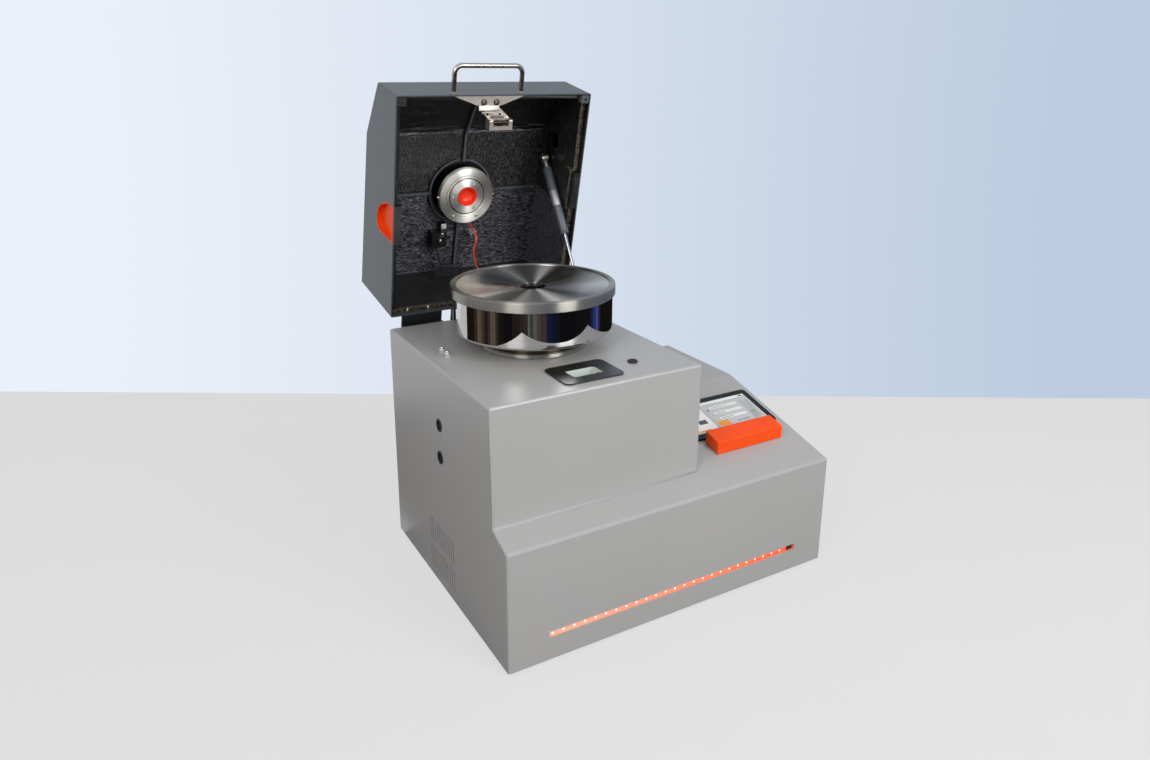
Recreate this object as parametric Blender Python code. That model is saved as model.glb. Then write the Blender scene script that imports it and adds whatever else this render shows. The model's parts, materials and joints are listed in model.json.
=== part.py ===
"""Bench-top vibratory disc mill with its hood open.

A sheet-steel housing carries a vibrating unit on rubber buffers. A lidded grinding vessel stands on
that unit. A lined hood hinged at the rear holds the pneumatic clamp that presses the vessel down.
All lengths are in metres. X runs to the right, Y to the back and Z up.
"""

import math

import bmesh
import bpy
from mathutils import Matrix, Vector

# General clearances and facets
gap = 0.0003
overrun = 0.004
merge_distance = 0.000001
round_steps = 48
middle_steps = 24
small_steps = 12
smooth_angle = math.radians(32)

# Housing
base_width = 0.550
base_depth = 0.420
foot_height = 0.004
front_height = 0.173
tower_height = 0.352
tower_width = 0.330
tower_front_y = 0.044
ridge_y = 0.235
ridge_rise = 0.063
sheet = 0.002
edge_radius = 0.003
edge_steps = 2

# Base plate and feet
plate_lift = 0.001
plate_thickness = 0.003
foot_radius = 0.014
foot_inset = 0.040

# Cooling slots in the left side
vent_count = 11
vent_pitch = 0.009
vent_width = 0.0028
vent_length = 0.0355
vent_first_y = 0.177
vent_lower_z = 0.016
vent_row_step = 0.0465

# Side plugs
plug_radius = 0.0085
plug_rim = 0.0015
plug_depth = 0.006
plug_proud = 0.0012
plug_y = 0.2145
plug_low_z = 0.2155
plug_pitch = 0.0495
plug_slot_width = 0.0025
plug_slot_depth = 0.002

# Rear panel and connections
rear_panel_width = 0.286
rear_panel_height = 0.220
rear_panel_z = 0.056
rear_panel_lap = 0.010
rear_panel_thickness = 0.0015
rear_vent_rows = 9
rear_vent_pitch = 0.011
rear_vent_width = 0.0035
rear_vent_length = 0.090
rear_vent_z = 0.050
inlet_x = 0.480
inlet_z = 0.060
inlet_width = 0.030
inlet_height = 0.024
inlet_flange = 0.010
inlet_flange_thickness = 0.003
inlet_depth = 0.022
inlet_wall = 0.002
inlet_pin_length = 0.014
inlet_pin_width = 0.004
inlet_pin_thickness = 0.002
inlet_pin_pitch = 0.007
switch_x = 0.430
switch_width = 0.014
switch_height = 0.021
switch_wall = 0.0025
switch_depth = 0.016
switch_proud = 0.003
rocker_angle = math.radians(9)
rocker_radius = 0.013
rocker_side_gap = 0.0005
rocker_end_gap = 0.0015
rocker_pin_radius = 0.0015
air_x = 0.385
air_z = 0.060
air_radius = 0.0075
air_bore = 0.0041
air_length = 0.014
air_nut_radius = 0.0095
air_nut_length = 0.005
air_nut_sides = 6

# Lamp slot in the front
slot_left = 0.060
slot_right = 0.492
slot_height = 0.0095
slot_z = 0.0375
channel_wall = 0.0015
channel_depth = 0.010
lamp_count = 26
lamp_pitch = 0.01667
lamp_size = 0.005
lamp_thickness = 0.0014
lamp_first_x = 0.0665
strip_thickness = 0.0012
strip_height = 0.0080
strip_end_margin = 0.0075

# Display and the rest in front of it
display_side_gap = 0.042
display_edge_gap = 0.014
display_start = 0.1040
display_end = 0.1930
display_thickness = 0.004
display_border = 0.0095
display_corner = 0.006
display_recess = 0.0012
rest_side_gap = 0.054
rest_edge_gap = 0.037
rest_front_y = 0.0645
rest_back_y = 0.0950
rest_height = 0.0205
rest_bevel = 0.0015

# Latch receiver in the tower top
latch_shift = 0.002
latch_y = 0.0965
latch_plate_width = 0.093
latch_plate_depth = 0.068
latch_plate_thickness = 0.002
latch_plate_corner = 0.009
latch_window_width = 0.049
latch_window_depth = 0.030
latch_window_corner = 0.005
tray_wall = 0.002
tray_depth = 0.016
bolt_width = 0.012
bolt_height = 0.005
bolt_length = 0.022
bolt_travel = 0.008
bolt_drop = 0.007
lock_length = 0.034
lock_width = 0.026
lock_height = 0.013

# Rubber stop and locating studs on the tower top
stop_side = 0.082
stop_y = 0.100
stop_radius = 0.0072
stop_height = 0.003
stud_x = 0.029
stud_pitch = 0.020
stud_radius = 0.0042
stud_height = 0.007
stud_flange_radius = 0.0062
stud_flange_height = 0.0015

# Vibrating unit
unit_shift = 0.003
unit_back = 0.171
table_opening_radius = 0.0778
seat_radius = 0.081
seat_rise = 0.0245
seat_neck_radius = 0.074
seat_collar_radius = 0.0805
seat_collar_height = 0.0054
seat_collar_gap = 0.0008
seat_groove_height = 0.006
seat_lip_radius = 0.058
seat_lip_height = 0.0025
table_size = 0.226
table_thickness = 0.012
table_drop = 0.019
table_corner = 0.020
buffer_radius = 0.016
buffer_waist_radius = 0.012
buffer_height = 0.034
buffer_reach = 0.094
post_size = 0.028
motor_radius = 0.058
motor_length = 0.176
motor_flange_radius = 0.072
motor_flange_thickness = 0.010
motor_rib_count = 12
motor_rib_depth = 0.003
motor_rib_width = 0.005
shaft_radius = 0.009
shaft_length = 0.052
shaft_stub = 0.020
bearing_gap = 0.0004
weight_radius = 0.050
weight_thickness = 0.024
weight_drop = 0.012
weight_hub_radius = 0.018

# Grinding vessel
bowl_radius = 0.119
bowl_wall = 0.018
bowl_floor = 0.014
bowl_height = 0.0545
bowl_chamfer = 0.004
lid_radius = 0.123
lid_thickness = 0.015
lid_rim_width = 0.009
lid_dish_depth = 0.0065
lid_step = 0.0012
lid_edge = 0.0018
lid_hole_radius = 0.0195
lid_hole_depth = 0.0050
lid_spigot_height = 0.004
lid_spigot_clearance = 0.0008
lid_seal_height = 0.0018
ring_outer_radius = 0.082
ring_inner_radius = 0.060
ring_height = 0.0345
puck_radius = 0.046
puck_height = 0.0345
grind_chamfer = 0.0025
ring_travel = 0.018
puck_travel = 0.013
bowl_lift = 0.060
lid_lift = 0.060
swing_travel = 0.0025

# Hood, given in its closed place
hood_gap = 0.001
hood_inset = 0.0045
hood_front_margin = 0.006
hood_rear_margin = 0.0155
hood_face_height = 0.084
hood_face_lean = 0.001
hood_break_run = 0.092
hood_break_height = 0.135
hood_rear_height = 0.156
hood_rear_lean = 0.010
hinge_back = 0.004
hinge_drop = 0.004
open_angle = math.radians(77.26)
lining_thickness = 0.008
lining_setback = 0.010
rib_thickness = 0.004
rib_height = 0.015

# Recessed grips in the hood's sides
grip_left_shift = 0.008
grip_right_shift = 0.043
grip_half_width = 0.0305
grip_height = 0.079
grip_lean = 0.27
grip_round = 0.77
grip_depth = 0.011
grip_wall = 0.0015
grip_foam = 0.004
insert_wall = 0.0022
grip_steps = 12

# Handle, latch striker and bumpers of the hood
handle_shift = 0.014
handle_spacing = 0.110
handle_reach = 0.040
handle_radius = 0.0037
handle_bend = 0.011
handle_rise = 0.012
bend_steps = 6
backing_half_width = 0.058
backing_half_tip = 0.020
backing_reach = 0.0145
backing_thickness = 0.002
backing_lift = 0.002
arm_width = 0.034
arm_reach = 0.021
arm_shift = 0.009
striker_width = 0.038
striker_depth = 0.0155
striker_reach = 0.010
striker_drop = 0.009
striker_wall = 0.006
striker_floor = 0.003
bumper_size = 0.014
bumper_height = 0.012

# Pneumatic clamp in the hood
clamp_ring_radius = 0.0572
clamp_ring_wall = 0.0035
clamp_ring_level = 0.128
clamp_drum_radius = 0.0470
clamp_bore_radius = 0.021
clamp_stem_radius = 0.020
clamp_stem_length = 0.026
clamp_face_level = 0.101
clamp_flange_radius = 0.0487
clamp_flange_thickness = 0.010
clamp_flange_gap = 0.001
clamp_edge = 0.0012
clamp_disc_radius = 0.0305
clamp_disc_recess = 0.004
clamp_disc_proud = 0.0015
clamp_groove = 0.0017
cup_radius = 0.0170
cup_wall = 0.0018
cup_mouth_chamfer = 0.0008
cup_floor = 0.0018
cup_floor_radius = 0.0100
clamp_travel = 0.011

# Valve, fittings, cables and hose in the hood
valve_side = 0.0385
valve_run = 0.084
valve_width = 0.026
valve_depth = 0.028
valve_level = 0.118
valve_cap_radius = 0.005
valve_cap_height = 0.003
fitting_size = 0.0085
fitting_level = 0.124
fitting_left_side = 0.0295
fitting_left_back = 0.061
fitting_right_side = 0.029
fitting_right_back = 0.081
cable_radius = 0.0019
hose_radius = 0.0021
cable_bracket_side = 0.047
cable_bracket_width = 0.044
cable_bracket_reach = 0.016
cable_bracket_level = 0.112
cable_bracket_thickness = 0.002
cable_bracket_lip = 0.006
tube_sides = 2

# Rear hinges and the cable bridge between them
hinge_width = 0.068
hinge_margin = 0.024
hinge_barrel_radius = 0.0035
hinge_pin_radius = 0.0018
hinge_play = 0.0003
hinge_plate = 0.003
hinge_leaf_drop = 0.040
hinge_leaf_rise = 0.042
hinge_web_lift = 0.003
hinge_knuckle = 0.020
bridge_left_gap = 0.017
bridge_right_gap = 0.062

# Gas spring
strut_side = 0.0305
strut_upper_run = 0.242
strut_upper_rise = 0.083
strut_lower_run = 0.100
strut_lower_rise = 0.028
strut_radius = 0.0075
strut_top = 0.014
strut_end = 0.140
strut_wall = 0.0015
strut_guide = 0.004
strut_rod_radius = 0.0025
strut_rod_play = 0.0004
strut_piston_radius = 0.0056
strut_piston_length = 0.005
strut_neck_radius = 0.0038
eye_radius = 0.0070
eye_width = 0.010
eye_pin_radius = 0.0030
eye_pin_play = 0.0003
eye_head_radius = 0.0048
eye_head_length = 0.003
strut_plate = 0.0025
strut_plate_gap = 0.0035
upper_foot_reach = 0.042
upper_foot_length = 0.026
upper_foot_low = 0.070
upper_foot_high = 0.096
upper_leg_reach = 0.009
lower_foot_half = 0.013
nut_radius = 0.0055
nut_length = 0.004

# Sizes that follow from the ones above
housing_bottom = foot_height
housing_top = foot_height + tower_height
front_top = foot_height + front_height
ridge_top = front_top + ridge_rise
slope_angle = math.atan2(ridge_rise, ridge_y)
rim_z = housing_top + hood_gap
hinge_y = base_depth + hinge_back
hinge_z = housing_top - hinge_drop
hood_left = hood_inset
hood_right = tower_width - hood_inset
hood_front_y = tower_front_y + hood_front_margin
hood_rear_y = base_depth - hood_rear_margin
hood_break_y = hood_front_y + hood_break_run
unit_x = tower_width / 2 + unit_shift
unit_y = base_depth - unit_back
latch_x = tower_width / 2 + latch_shift
stop_x = latch_x + stop_side
stud_near_y = unit_y
display_left = tower_width + display_side_gap
display_right = base_width - display_edge_gap
rest_left = tower_width + rest_side_gap
rest_right = base_width - rest_edge_gap
grip_left_y = unit_y - grip_left_shift
grip_right_y = unit_y - grip_right_shift
handle_x = tower_width / 2 - handle_shift
valve_x = unit_x - valve_side
valve_y = unit_y + valve_run
fitting_left_x = unit_x - fitting_left_side
fitting_left_y = unit_y + fitting_left_back
fitting_right_x = unit_x + fitting_right_side
fitting_right_y = unit_y + fitting_right_back
cable_bracket_left = unit_x - cable_bracket_side
cable_bracket_right = cable_bracket_left + cable_bracket_width
hinge_left_x = hinge_margin
hinge_right_x = tower_width - hinge_margin - hinge_width
bridge_left_x = hinge_left_x + hinge_width + bridge_left_gap
bridge_right_x = hinge_right_x - bridge_right_gap
strut_x = tower_width - strut_side
strut_upper_y = hinge_y - strut_upper_run
strut_lower_y = hinge_y - strut_lower_run
upper_foot_front_y = strut_upper_y - upper_foot_reach
upper_foot_back_y = upper_foot_front_y + upper_foot_length
upper_leg_back_y = strut_upper_y + upper_leg_reach
seat_top = housing_top + seat_rise
bowl_bottom = seat_top + gap
bowl_top = bowl_bottom + bowl_height
lid_bottom = bowl_top + gap
lid_top = lid_bottom + lid_thickness
table_top = housing_top - table_drop
table_bottom = table_top - table_thickness
base_plate_bottom = foot_height + plate_lift
base_plate_top = base_plate_bottom + plate_thickness

# Colours as red, green, blue, roughness and metallic
finishes = {
    "painted_grey": (0.40, 0.39, 0.375, 0.42, 0.0),
    "anthracite": (0.085, 0.095, 0.105, 0.45, 0.0),
    "orange_plastic": (1.0, 0.13, 0.02, 0.45, 0.0),
    "black_plastic": (0.03, 0.03, 0.032, 0.4, 0.0),
    "rubber": (0.025, 0.025, 0.025, 0.8, 0.0),
    "brushed_steel": (0.62, 0.60, 0.57, 0.32, 1.0),
    "polished_steel": (0.70, 0.70, 0.70, 0.08, 1.0),
    "dark_steel": (0.16, 0.15, 0.14, 0.4, 1.0),
    "zinc": (0.66, 0.63, 0.57, 0.35, 1.0),
    "cast_grey": (0.20, 0.21, 0.22, 0.6, 0.2),
    "foam": (0.018, 0.018, 0.020, 0.55, 0.0),
    "pale_plastic": (0.62, 0.66, 0.60, 0.4, 0.0),
    "white_plastic": (0.8, 0.8, 0.78, 0.4, 0.0),
    "screen": (0.75, 0.76, 0.78, 0.2, 0.0),
    "lamp": (1.0, 0.35, 0.15, 0.4, 0.0),
    "red_hose": (0.55, 0.06, 0.05, 0.4, 0.0),
    "black_cable": (0.02, 0.02, 0.02, 0.5, 0.0),
}


def clear_scene():
    for item in list(bpy.data.objects):
        bpy.data.objects.remove(item, do_unlink=True)


def make_material(name):
    """A plain Principled finish from the table of colours."""
    found = bpy.data.materials.get(name)
    if found:
        return found
    red, green, blue, roughness, metallic = finishes[name]
    material = bpy.data.materials.new(name)
    material.use_nodes = True
    shader = material.node_tree.nodes["Principled BSDF"]
    shader.inputs["Base Color"].default_value = (red, green, blue, 1.0)
    shader.inputs["Roughness"].default_value = roughness
    shader.inputs["Metallic"].default_value = metallic
    return material


def make_empty(name, location, parent=None, rotation=(0, 0, 0)):
    empty = bpy.data.objects.new(name, None)
    bpy.context.scene.collection.objects.link(empty)
    empty.parent = parent
    empty.location = location
    empty.rotation_euler = rotation
    return empty


class Carrier:
    """An empty that carries pieces, with the point that its own origin has in the pieces' coordinates."""

    def __init__(self, empty, home):
        self.empty = empty
        self.home = Vector(home)


def to_object(name, bm, finish, carrier):
    """Turns a bmesh into a shown object on its carrier."""
    bmesh.ops.recalc_face_normals(bm, faces=bm.faces)
    mesh = bpy.data.meshes.new(name)
    bm.to_mesh(mesh)
    bm.free()
    mesh.shade_smooth()
    mesh.set_sharp_from_angle(angle=smooth_angle)
    item = bpy.data.objects.new(name, mesh)
    bpy.context.scene.collection.objects.link(item)
    item.data.materials.append(make_material(finish))
    item.parent = carrier.empty
    item.location = -carrier.home
    return item


def hide_guide(item):
    item.hide_render = True
    item.display_type = "WIRE"
    return item


def combine(target, tools, operation):
    for tool in tools:
        hide_guide(tool)
        modifier = target.modifiers.new(tool.name, "BOOLEAN")
        modifier.operation = operation
        modifier.solver = "EXACT"
        modifier.object = tool
    return target


def cut(target, *tools):
    return combine(target, tools, "DIFFERENCE")


def fuse(target, *tools):
    return combine(target, tools, "UNION")


def box_mesh(low, high):
    bm = bmesh.new()
    size = [b - a for a, b in zip(low, high)]
    middle = [(a + b) / 2 for a, b in zip(low, high)]
    scale = Matrix.Diagonal((*size, 1))
    bmesh.ops.create_cube(bm, size=1, matrix=Matrix.Translation(middle) @ scale)
    return bm


def round_edges(bm, radius, steps=edge_steps, choose=None):
    edges = [edge for edge in bm.edges if choose is None or choose(edge)]
    bmesh.ops.bevel(bm, geom=edges, offset=radius, segments=steps, profile=0.5, affect="EDGES")
    return bm


def prism_mesh(outline, axis, start, end):
    """Extrudes an outline along an axis: 0 takes (y, z) points, 1 takes (x, z) and 2 takes (x, y)."""
    bm = bmesh.new()
    verts = []
    for first, second in outline:
        point = [first, second]
        point.insert(axis, start)
        verts.append(bm.verts.new(point))
    face = bm.faces.new(verts)
    made = bmesh.ops.extrude_face_region(bm, geom=[face])
    shift = [0, 0, 0]
    shift[axis] = end - start
    moved = [item for item in made["geom"] if isinstance(item, bmesh.types.BMVert)]
    bmesh.ops.translate(bm, verts=moved, vec=shift)
    return bm


def turned_mesh(profile, centre, axis=2, steps=round_steps):
    """Spins a closed (radius, height) profile round an axis through the centre."""
    bm = bmesh.new()
    verts = [bm.verts.new((radius, 0, height)) for radius, height in profile]
    edges = [bm.edges.new((verts[i - 1], verts[i])) for i in range(len(verts))]
    bmesh.ops.spin(bm, geom=verts + edges, cent=(0, 0, 0), axis=(0, 0, 1),
                   angle=2 * math.pi, steps=steps, use_merge=True)
    bmesh.ops.remove_doubles(bm, verts=bm.verts, dist=merge_distance)
    bmesh.ops.dissolve_degenerate(bm, edges=bm.edges, dist=merge_distance)
    for edge in [edge for edge in bm.edges if not edge.link_faces]:
        bm.edges.remove(edge)
    if axis == 0:
        bm.transform(Matrix.Rotation(math.pi / 2, 4, "Y"))
    if axis == 1:
        bm.transform(Matrix.Rotation(-math.pi / 2, 4, "X"))
    bm.transform(Matrix.Translation(centre))
    return bm


def disc_profile(radius, low, high):
    return [(0, low), (radius, low), (radius, high), (0, high)]


def ring_profile(inner, outer, low, high):
    return [(inner, low), (outer, low), (outer, high), (inner, high)]


def cylinder_mesh(radius, centre, low, high, axis=2, steps=middle_steps):
    return turned_mesh(disc_profile(radius, low, high), centre, axis, steps)


def rounded_outline(left, right, front, back, radius, steps=4):
    """A rectangle with rounded corners, as (a, b) points."""
    corners = ((right, back, 0), (left, back, 1), (left, front, 2), (right, front, 3))
    points = []
    for x, y, quarter in corners:
        centre_x = x - radius if x == right else x + radius
        centre_y = y - radius if y == back else y + radius
        for step in range(steps + 1):
            angle = (quarter + step / steps) * math.pi / 2
            points.append((centre_x + radius * math.cos(angle), centre_y + radius * math.sin(angle)))
    return points


def inset_outline(points, distances):
    """Moves each edge of a convex outline inwards by its own distance and meets the moved edges."""
    count = len(points)
    middle = Vector((sum(p[0] for p in points) / count, sum(p[1] for p in points) / count))
    lines = []
    for i in range(count):
        start = Vector(points[i])
        along = (Vector(points[(i + 1) % count]) - start).normalized()
        inward = Vector((-along.y, along.x))
        if inward.dot(middle - start) < 0:
            inward = -inward
        lines.append((start + inward * distances[i], along))
    result = []
    for i in range(count):
        (p, a), (q, b) = lines[i - 1], lines[i]
        t = (q - p).cross(b) / a.cross(b)
        result.append(tuple(p + a * t))
    return result


def tube_object(name, points, radius, finish, carrier, steps=16):
    """A round tube on a smooth curve through the points, with filled ends."""
    path = smooth_path([Vector(p) for p in points], steps)
    curve = bpy.data.curves.new(name, "CURVE")
    curve.dimensions = "3D"
    curve.bevel_depth = radius
    curve.bevel_resolution = tube_sides
    curve.use_fill_caps = True
    curve.render_resolution_u = 0
    spline = curve.splines.new("POLY")
    spline.points.add(len(path) - 1)
    for knot, point in zip(spline.points, path):
        knot.co = (*point, 1)
    item = bpy.data.objects.new(name, curve)
    bpy.context.scene.collection.objects.link(item)
    curve.materials.append(make_material(finish))
    item.parent = carrier.empty
    item.location = -carrier.home
    return item


def smooth_path(points, steps):
    """Catmull-Rom points through the given ones, evenly stepped between each pair."""
    if len(points) < 3:
        return points
    ends = [points[0] * 2 - points[1], *points, points[-1] * 2 - points[-2]]
    path = []
    for i in range(1, len(ends) - 2):
        a, b, c, d = ends[i - 1:i + 3]
        for step in range(steps):
            t = step / steps
            path.append(((b * 2) + (c - a) * t + (a * 2 - b * 5 + c * 4 - d) * t * t
                         + (b * 3 - a - c * 3 + d) * t ** 3) / 2)
    path.append(points[-1])
    return path


def slope_z(y, inset=0.0):
    """Height of the console's sloping face at depth y, moved inwards by the inset."""
    return front_top + y * ridge_rise / ridge_y - inset / math.cos(slope_angle)


def body_mesh(inset, bottom):
    """The stepped body: full-width base with a sloping console, and the tower on its left."""
    left, right = inset, base_width - inset
    tower_right = tower_width - inset
    front, step, back = inset, tower_front_y + inset, base_depth - inset
    top = housing_top - inset
    ridge = ridge_top - inset
    crest_y = ridge_y + inset * math.tan(slope_angle / 2)
    bm = bmesh.new()

    def vert(x, y, z):
        return bm.verts.new((x, y, z))

    lf0, rf0 = vert(left, front, bottom), vert(right, front, bottom)
    lb0, rb0 = vert(left, back, bottom), vert(right, back, bottom)
    lf1, rf1 = vert(left, front, slope_z(front, inset)), vert(right, front, slope_z(front, inset))
    ls1, ms1 = vert(left, step, slope_z(step, inset)), vert(tower_right, step, slope_z(step, inset))
    ls2, ms2 = vert(left, step, top), vert(tower_right, step, top)
    lb2, mb2 = vert(left, back, top), vert(tower_right, back, top)
    mr1, rr1 = vert(tower_right, crest_y, ridge), vert(right, crest_y, ridge)
    mb1, rb1 = vert(tower_right, back, ridge), vert(right, back, ridge)
    faces = (
        (lf0, rf0, rb0, lb0), (lf0, lf1, rf1, rf0), (lf1, ls1, ms1, mr1, rr1, rf1),
        (ls1, ls2, ms2, ms1), (ls2, lb2, mb2, ms2), (ms1, ms2, mb2, mb1, mr1),
        (mr1, mb1, rb1, rr1), (rf0, rf1, rr1, rb1, rb0), (lb0, rb0, rb1, mb1, mb2, lb2),
        (lf0, lb0, lb2, ls2, ls1, lf1),
    )
    for corners in faces:
        bm.faces.new(corners)
    return bm


def above_floor(level):
    """Chooses the edges that don't lie in the horizontal plane at the level."""
    def choose(edge):
        return any(abs(vert.co.z - level) > merge_distance for vert in edge.verts)
    return choose


def guide(name, bm, carrier):
    return hide_guide(to_object(name, bm, "rubber", carrier))


def build_housing(root):
    outer = body_mesh(0, housing_bottom)
    round_edges(outer, edge_radius, choose=above_floor(housing_bottom))
    shell = to_object("housing_shell", outer, "painted_grey", root)
    cuts = [guide("cut_inside", body_mesh(sheet, housing_bottom - overrun), root)]
    cuts.append(guide("cut_table", cylinder_mesh(
        table_opening_radius, (unit_x, unit_y, housing_top), -sheet - overrun, overrun, steps=round_steps), root))
    half_w = latch_window_width / 2 + tray_wall + gap
    half_d = latch_window_depth / 2 + tray_wall + gap
    cuts.append(guide("cut_latch", box_mesh(
        (latch_x - half_w, latch_y - half_d, housing_top - sheet - overrun),
        (latch_x + half_w, latch_y + half_d, housing_top + overrun)), root))
    slot_low = foot_height + slot_z - slot_height / 2
    cuts.append(guide("cut_slot", box_mesh(
        (slot_left, -overrun, slot_low), (slot_right, sheet + overrun, slot_low + slot_height)), root))
    cuts.append(guide("cut_vents", vent_bars(), root))
    plugs = bmesh.new()
    for index in range(2):
        centre = (0, plug_y, foot_height + plug_low_z + index * plug_pitch)
        add_mesh(plugs, cylinder_mesh(plug_radius, centre, -overrun, sheet + overrun, 0, small_steps))
    cuts.append(guide("cut_plugs", plugs, root))
    half = rear_panel_width / 2 - rear_panel_lap
    middle = tower_width / 2
    cuts.append(guide("cut_rear", box_mesh(
        (middle - half, base_depth - sheet - overrun, rear_panel_z + rear_panel_lap),
        (middle + half, base_depth + overrun, rear_panel_z + rear_panel_height - rear_panel_lap)), root))
    sockets = box_mesh(
        (inlet_x - inlet_width / 2 - gap, base_depth - sheet - overrun, inlet_z - inlet_height / 2 - gap),
        (inlet_x + inlet_width / 2 + gap, base_depth + overrun, inlet_z + inlet_height / 2 + gap))
    half_switch = switch_width / 2 + switch_wall + gap
    half_tall = switch_height / 2 + switch_wall + gap
    add_mesh(sockets, box_mesh(
        (switch_x - half_switch, base_depth - sheet - overrun, inlet_z - half_tall),
        (switch_x + half_switch, base_depth + overrun, inlet_z + half_tall)))
    add_mesh(sockets, cylinder_mesh(
        air_radius + gap, (air_x, base_depth, air_z), -sheet - overrun, overrun, 1, small_steps))
    cuts.append(guide("cut_sockets", sockets, root))
    cut(shell, *cuts)
    studs = bmesh.new()
    for index in range(2):
        low = -sheet / 2
        profile = [(0, low), (stud_flange_radius, low), (stud_flange_radius, stud_flange_height),
                   (stud_radius, stud_flange_height), (stud_radius, stud_height * 3 / 4),
                   (stud_radius * 2 / 3, stud_height), (0, stud_height)]
        place = (stud_x, stud_near_y + index * stud_pitch, housing_top)
        add_mesh(studs, turned_mesh(profile, place, 2, small_steps))
    fuse(shell, guide("welded_studs", studs, root))


def add_mesh(target, extra):
    """Adds one bmesh's faces to another."""
    mesh = bpy.data.meshes.new("joined")
    extra.to_mesh(mesh)
    extra.free()
    target.from_mesh(mesh)
    bpy.data.meshes.remove(mesh)
    return target


def vent_bars():
    bm = bmesh.new()
    for row in range(2):
        low = foot_height + vent_lower_z + row * vent_row_step
        for index in range(vent_count):
            y = vent_first_y + index * vent_pitch
            add_mesh(bm, box_mesh((-overrun, y - vent_width / 2, low),
                                  (sheet + overrun, y + vent_width / 2, low + vent_length)))
    return bm


def build_base(root):
    """Floor plate with its feet below it and the four posts of the vibrating unit on it."""
    inner = sheet + gap
    plate = to_object("base_plate", box_mesh(
        (inner, inner, base_plate_bottom), (base_width - inner, base_depth - inner, base_plate_top)),
        "cast_grey", root)
    feet = bmesh.new()
    middle = (base_plate_bottom + base_plate_top) / 2
    for x in (foot_inset, base_width - foot_inset):
        for y in (foot_inset, base_depth - foot_inset):
            add_mesh(feet, cylinder_mesh(foot_radius, (x, y, 0), 0, middle, steps=small_steps))
    posts = bmesh.new()
    top = table_bottom - gap - buffer_height - gap
    for x, y in buffer_places():
        add_mesh(posts, box_mesh((x - post_size / 2, y - post_size / 2, middle),
                                 (x + post_size / 2, y + post_size / 2, top)))
    fuse(plate, guide("plate_feet", feet, root), guide("plate_posts", posts, root))


def buffer_places():
    return [(unit_x + side * buffer_reach, unit_y + end * buffer_reach) for end in (-1, 1) for side in (-1, 1)]


def build_plugs(root):
    body = plug_radius - gap
    for index, name in enumerate(("lower", "upper")):
        z = foot_height + plug_low_z + index * plug_pitch
        profile = [(0, plug_depth), (body, plug_depth), (body, -gap), (body + plug_rim, -gap),
                   (body + plug_rim, -plug_proud), (body - plug_rim, -plug_proud),
                   (body - plug_rim, plug_slot_depth), (0, plug_slot_depth)]
        shown = to_object("side_plug_" + name, turned_mesh(profile, (0, plug_y, z), 0, small_steps),
                          "black_plastic", root)
        slot = box_mesh((0, plug_y - plug_slot_width / 2, z - body / 2),
                        (plug_slot_depth + plug_slot_width, plug_y + plug_slot_width / 2, z + body / 2))
        cut(shown, guide("cut_plug_slot_" + name, slot, root))


def build_rear(root):
    middle = tower_width / 2
    face = base_depth + gap
    low, high = rear_panel_z, rear_panel_z + rear_panel_height
    left, right = middle - rear_panel_width / 2, middle + rear_panel_width / 2
    back = face + rear_panel_thickness
    panel = to_object("rear_panel", box_mesh((left, face, low), (right, back, high)), "painted_grey", root)
    bars = bmesh.new()
    for column in (-1, 1):
        centre = middle + column * (rear_vent_length / 2 + rear_panel_lap)
        for row in range(rear_vent_rows):
            z = low + rear_vent_z + row * rear_vent_pitch
            add_mesh(bars, box_mesh((centre - rear_vent_length / 2, face - overrun, z),
                                    (centre + rear_vent_length / 2, back + overrun, z + rear_vent_width)))
    cut(panel, guide("cut_rear_vents", bars, root))
    build_inlet(root)
    build_air_inlet(root)


def build_inlet(root):
    face = base_depth + gap
    half_w, half_h = inlet_width / 2, inlet_height / 2
    wide, tall = half_w + inlet_flange, half_h + inlet_flange / 2
    side = switch_width / 2 + switch_wall
    body = to_object("mains_inlet", box_mesh(
        (switch_x - side - inlet_wall, face, inlet_z - tall),
        (inlet_x + wide, face + inlet_flange_thickness, inlet_z + tall)), "black_plastic", root)
    barrel = guide("inlet_barrel", box_mesh(
        (inlet_x - half_w, face - inlet_depth, inlet_z - half_h),
        (inlet_x + half_w, face + gap, inlet_z + half_h)), root)
    socket = guide("cut_inlet", box_mesh(
        (inlet_x - half_w + inlet_wall, face - inlet_depth + inlet_wall, inlet_z - half_h + inlet_wall),
        (inlet_x + half_w - inlet_wall, face + inlet_flange_thickness + overrun, inlet_z + half_h - inlet_wall)),
        root)
    fuse(body, barrel)
    cut(body, socket)
    for index, lift in ((-1, 0), (0, inlet_pin_pitch / 2), (1, 0)):
        x = inlet_x + index * inlet_pin_pitch
        pin = guide("inlet_pin_" + str(index + 2), box_mesh(
            (x - inlet_pin_thickness / 2, face - inlet_depth + gap, inlet_z + lift - inlet_pin_width / 2),
            (x + inlet_pin_thickness / 2, face - inlet_depth + inlet_pin_length,
             inlet_z + lift + inlet_pin_width / 2)), root)
        fuse(body, pin)
    build_switch(root, body)


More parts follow.
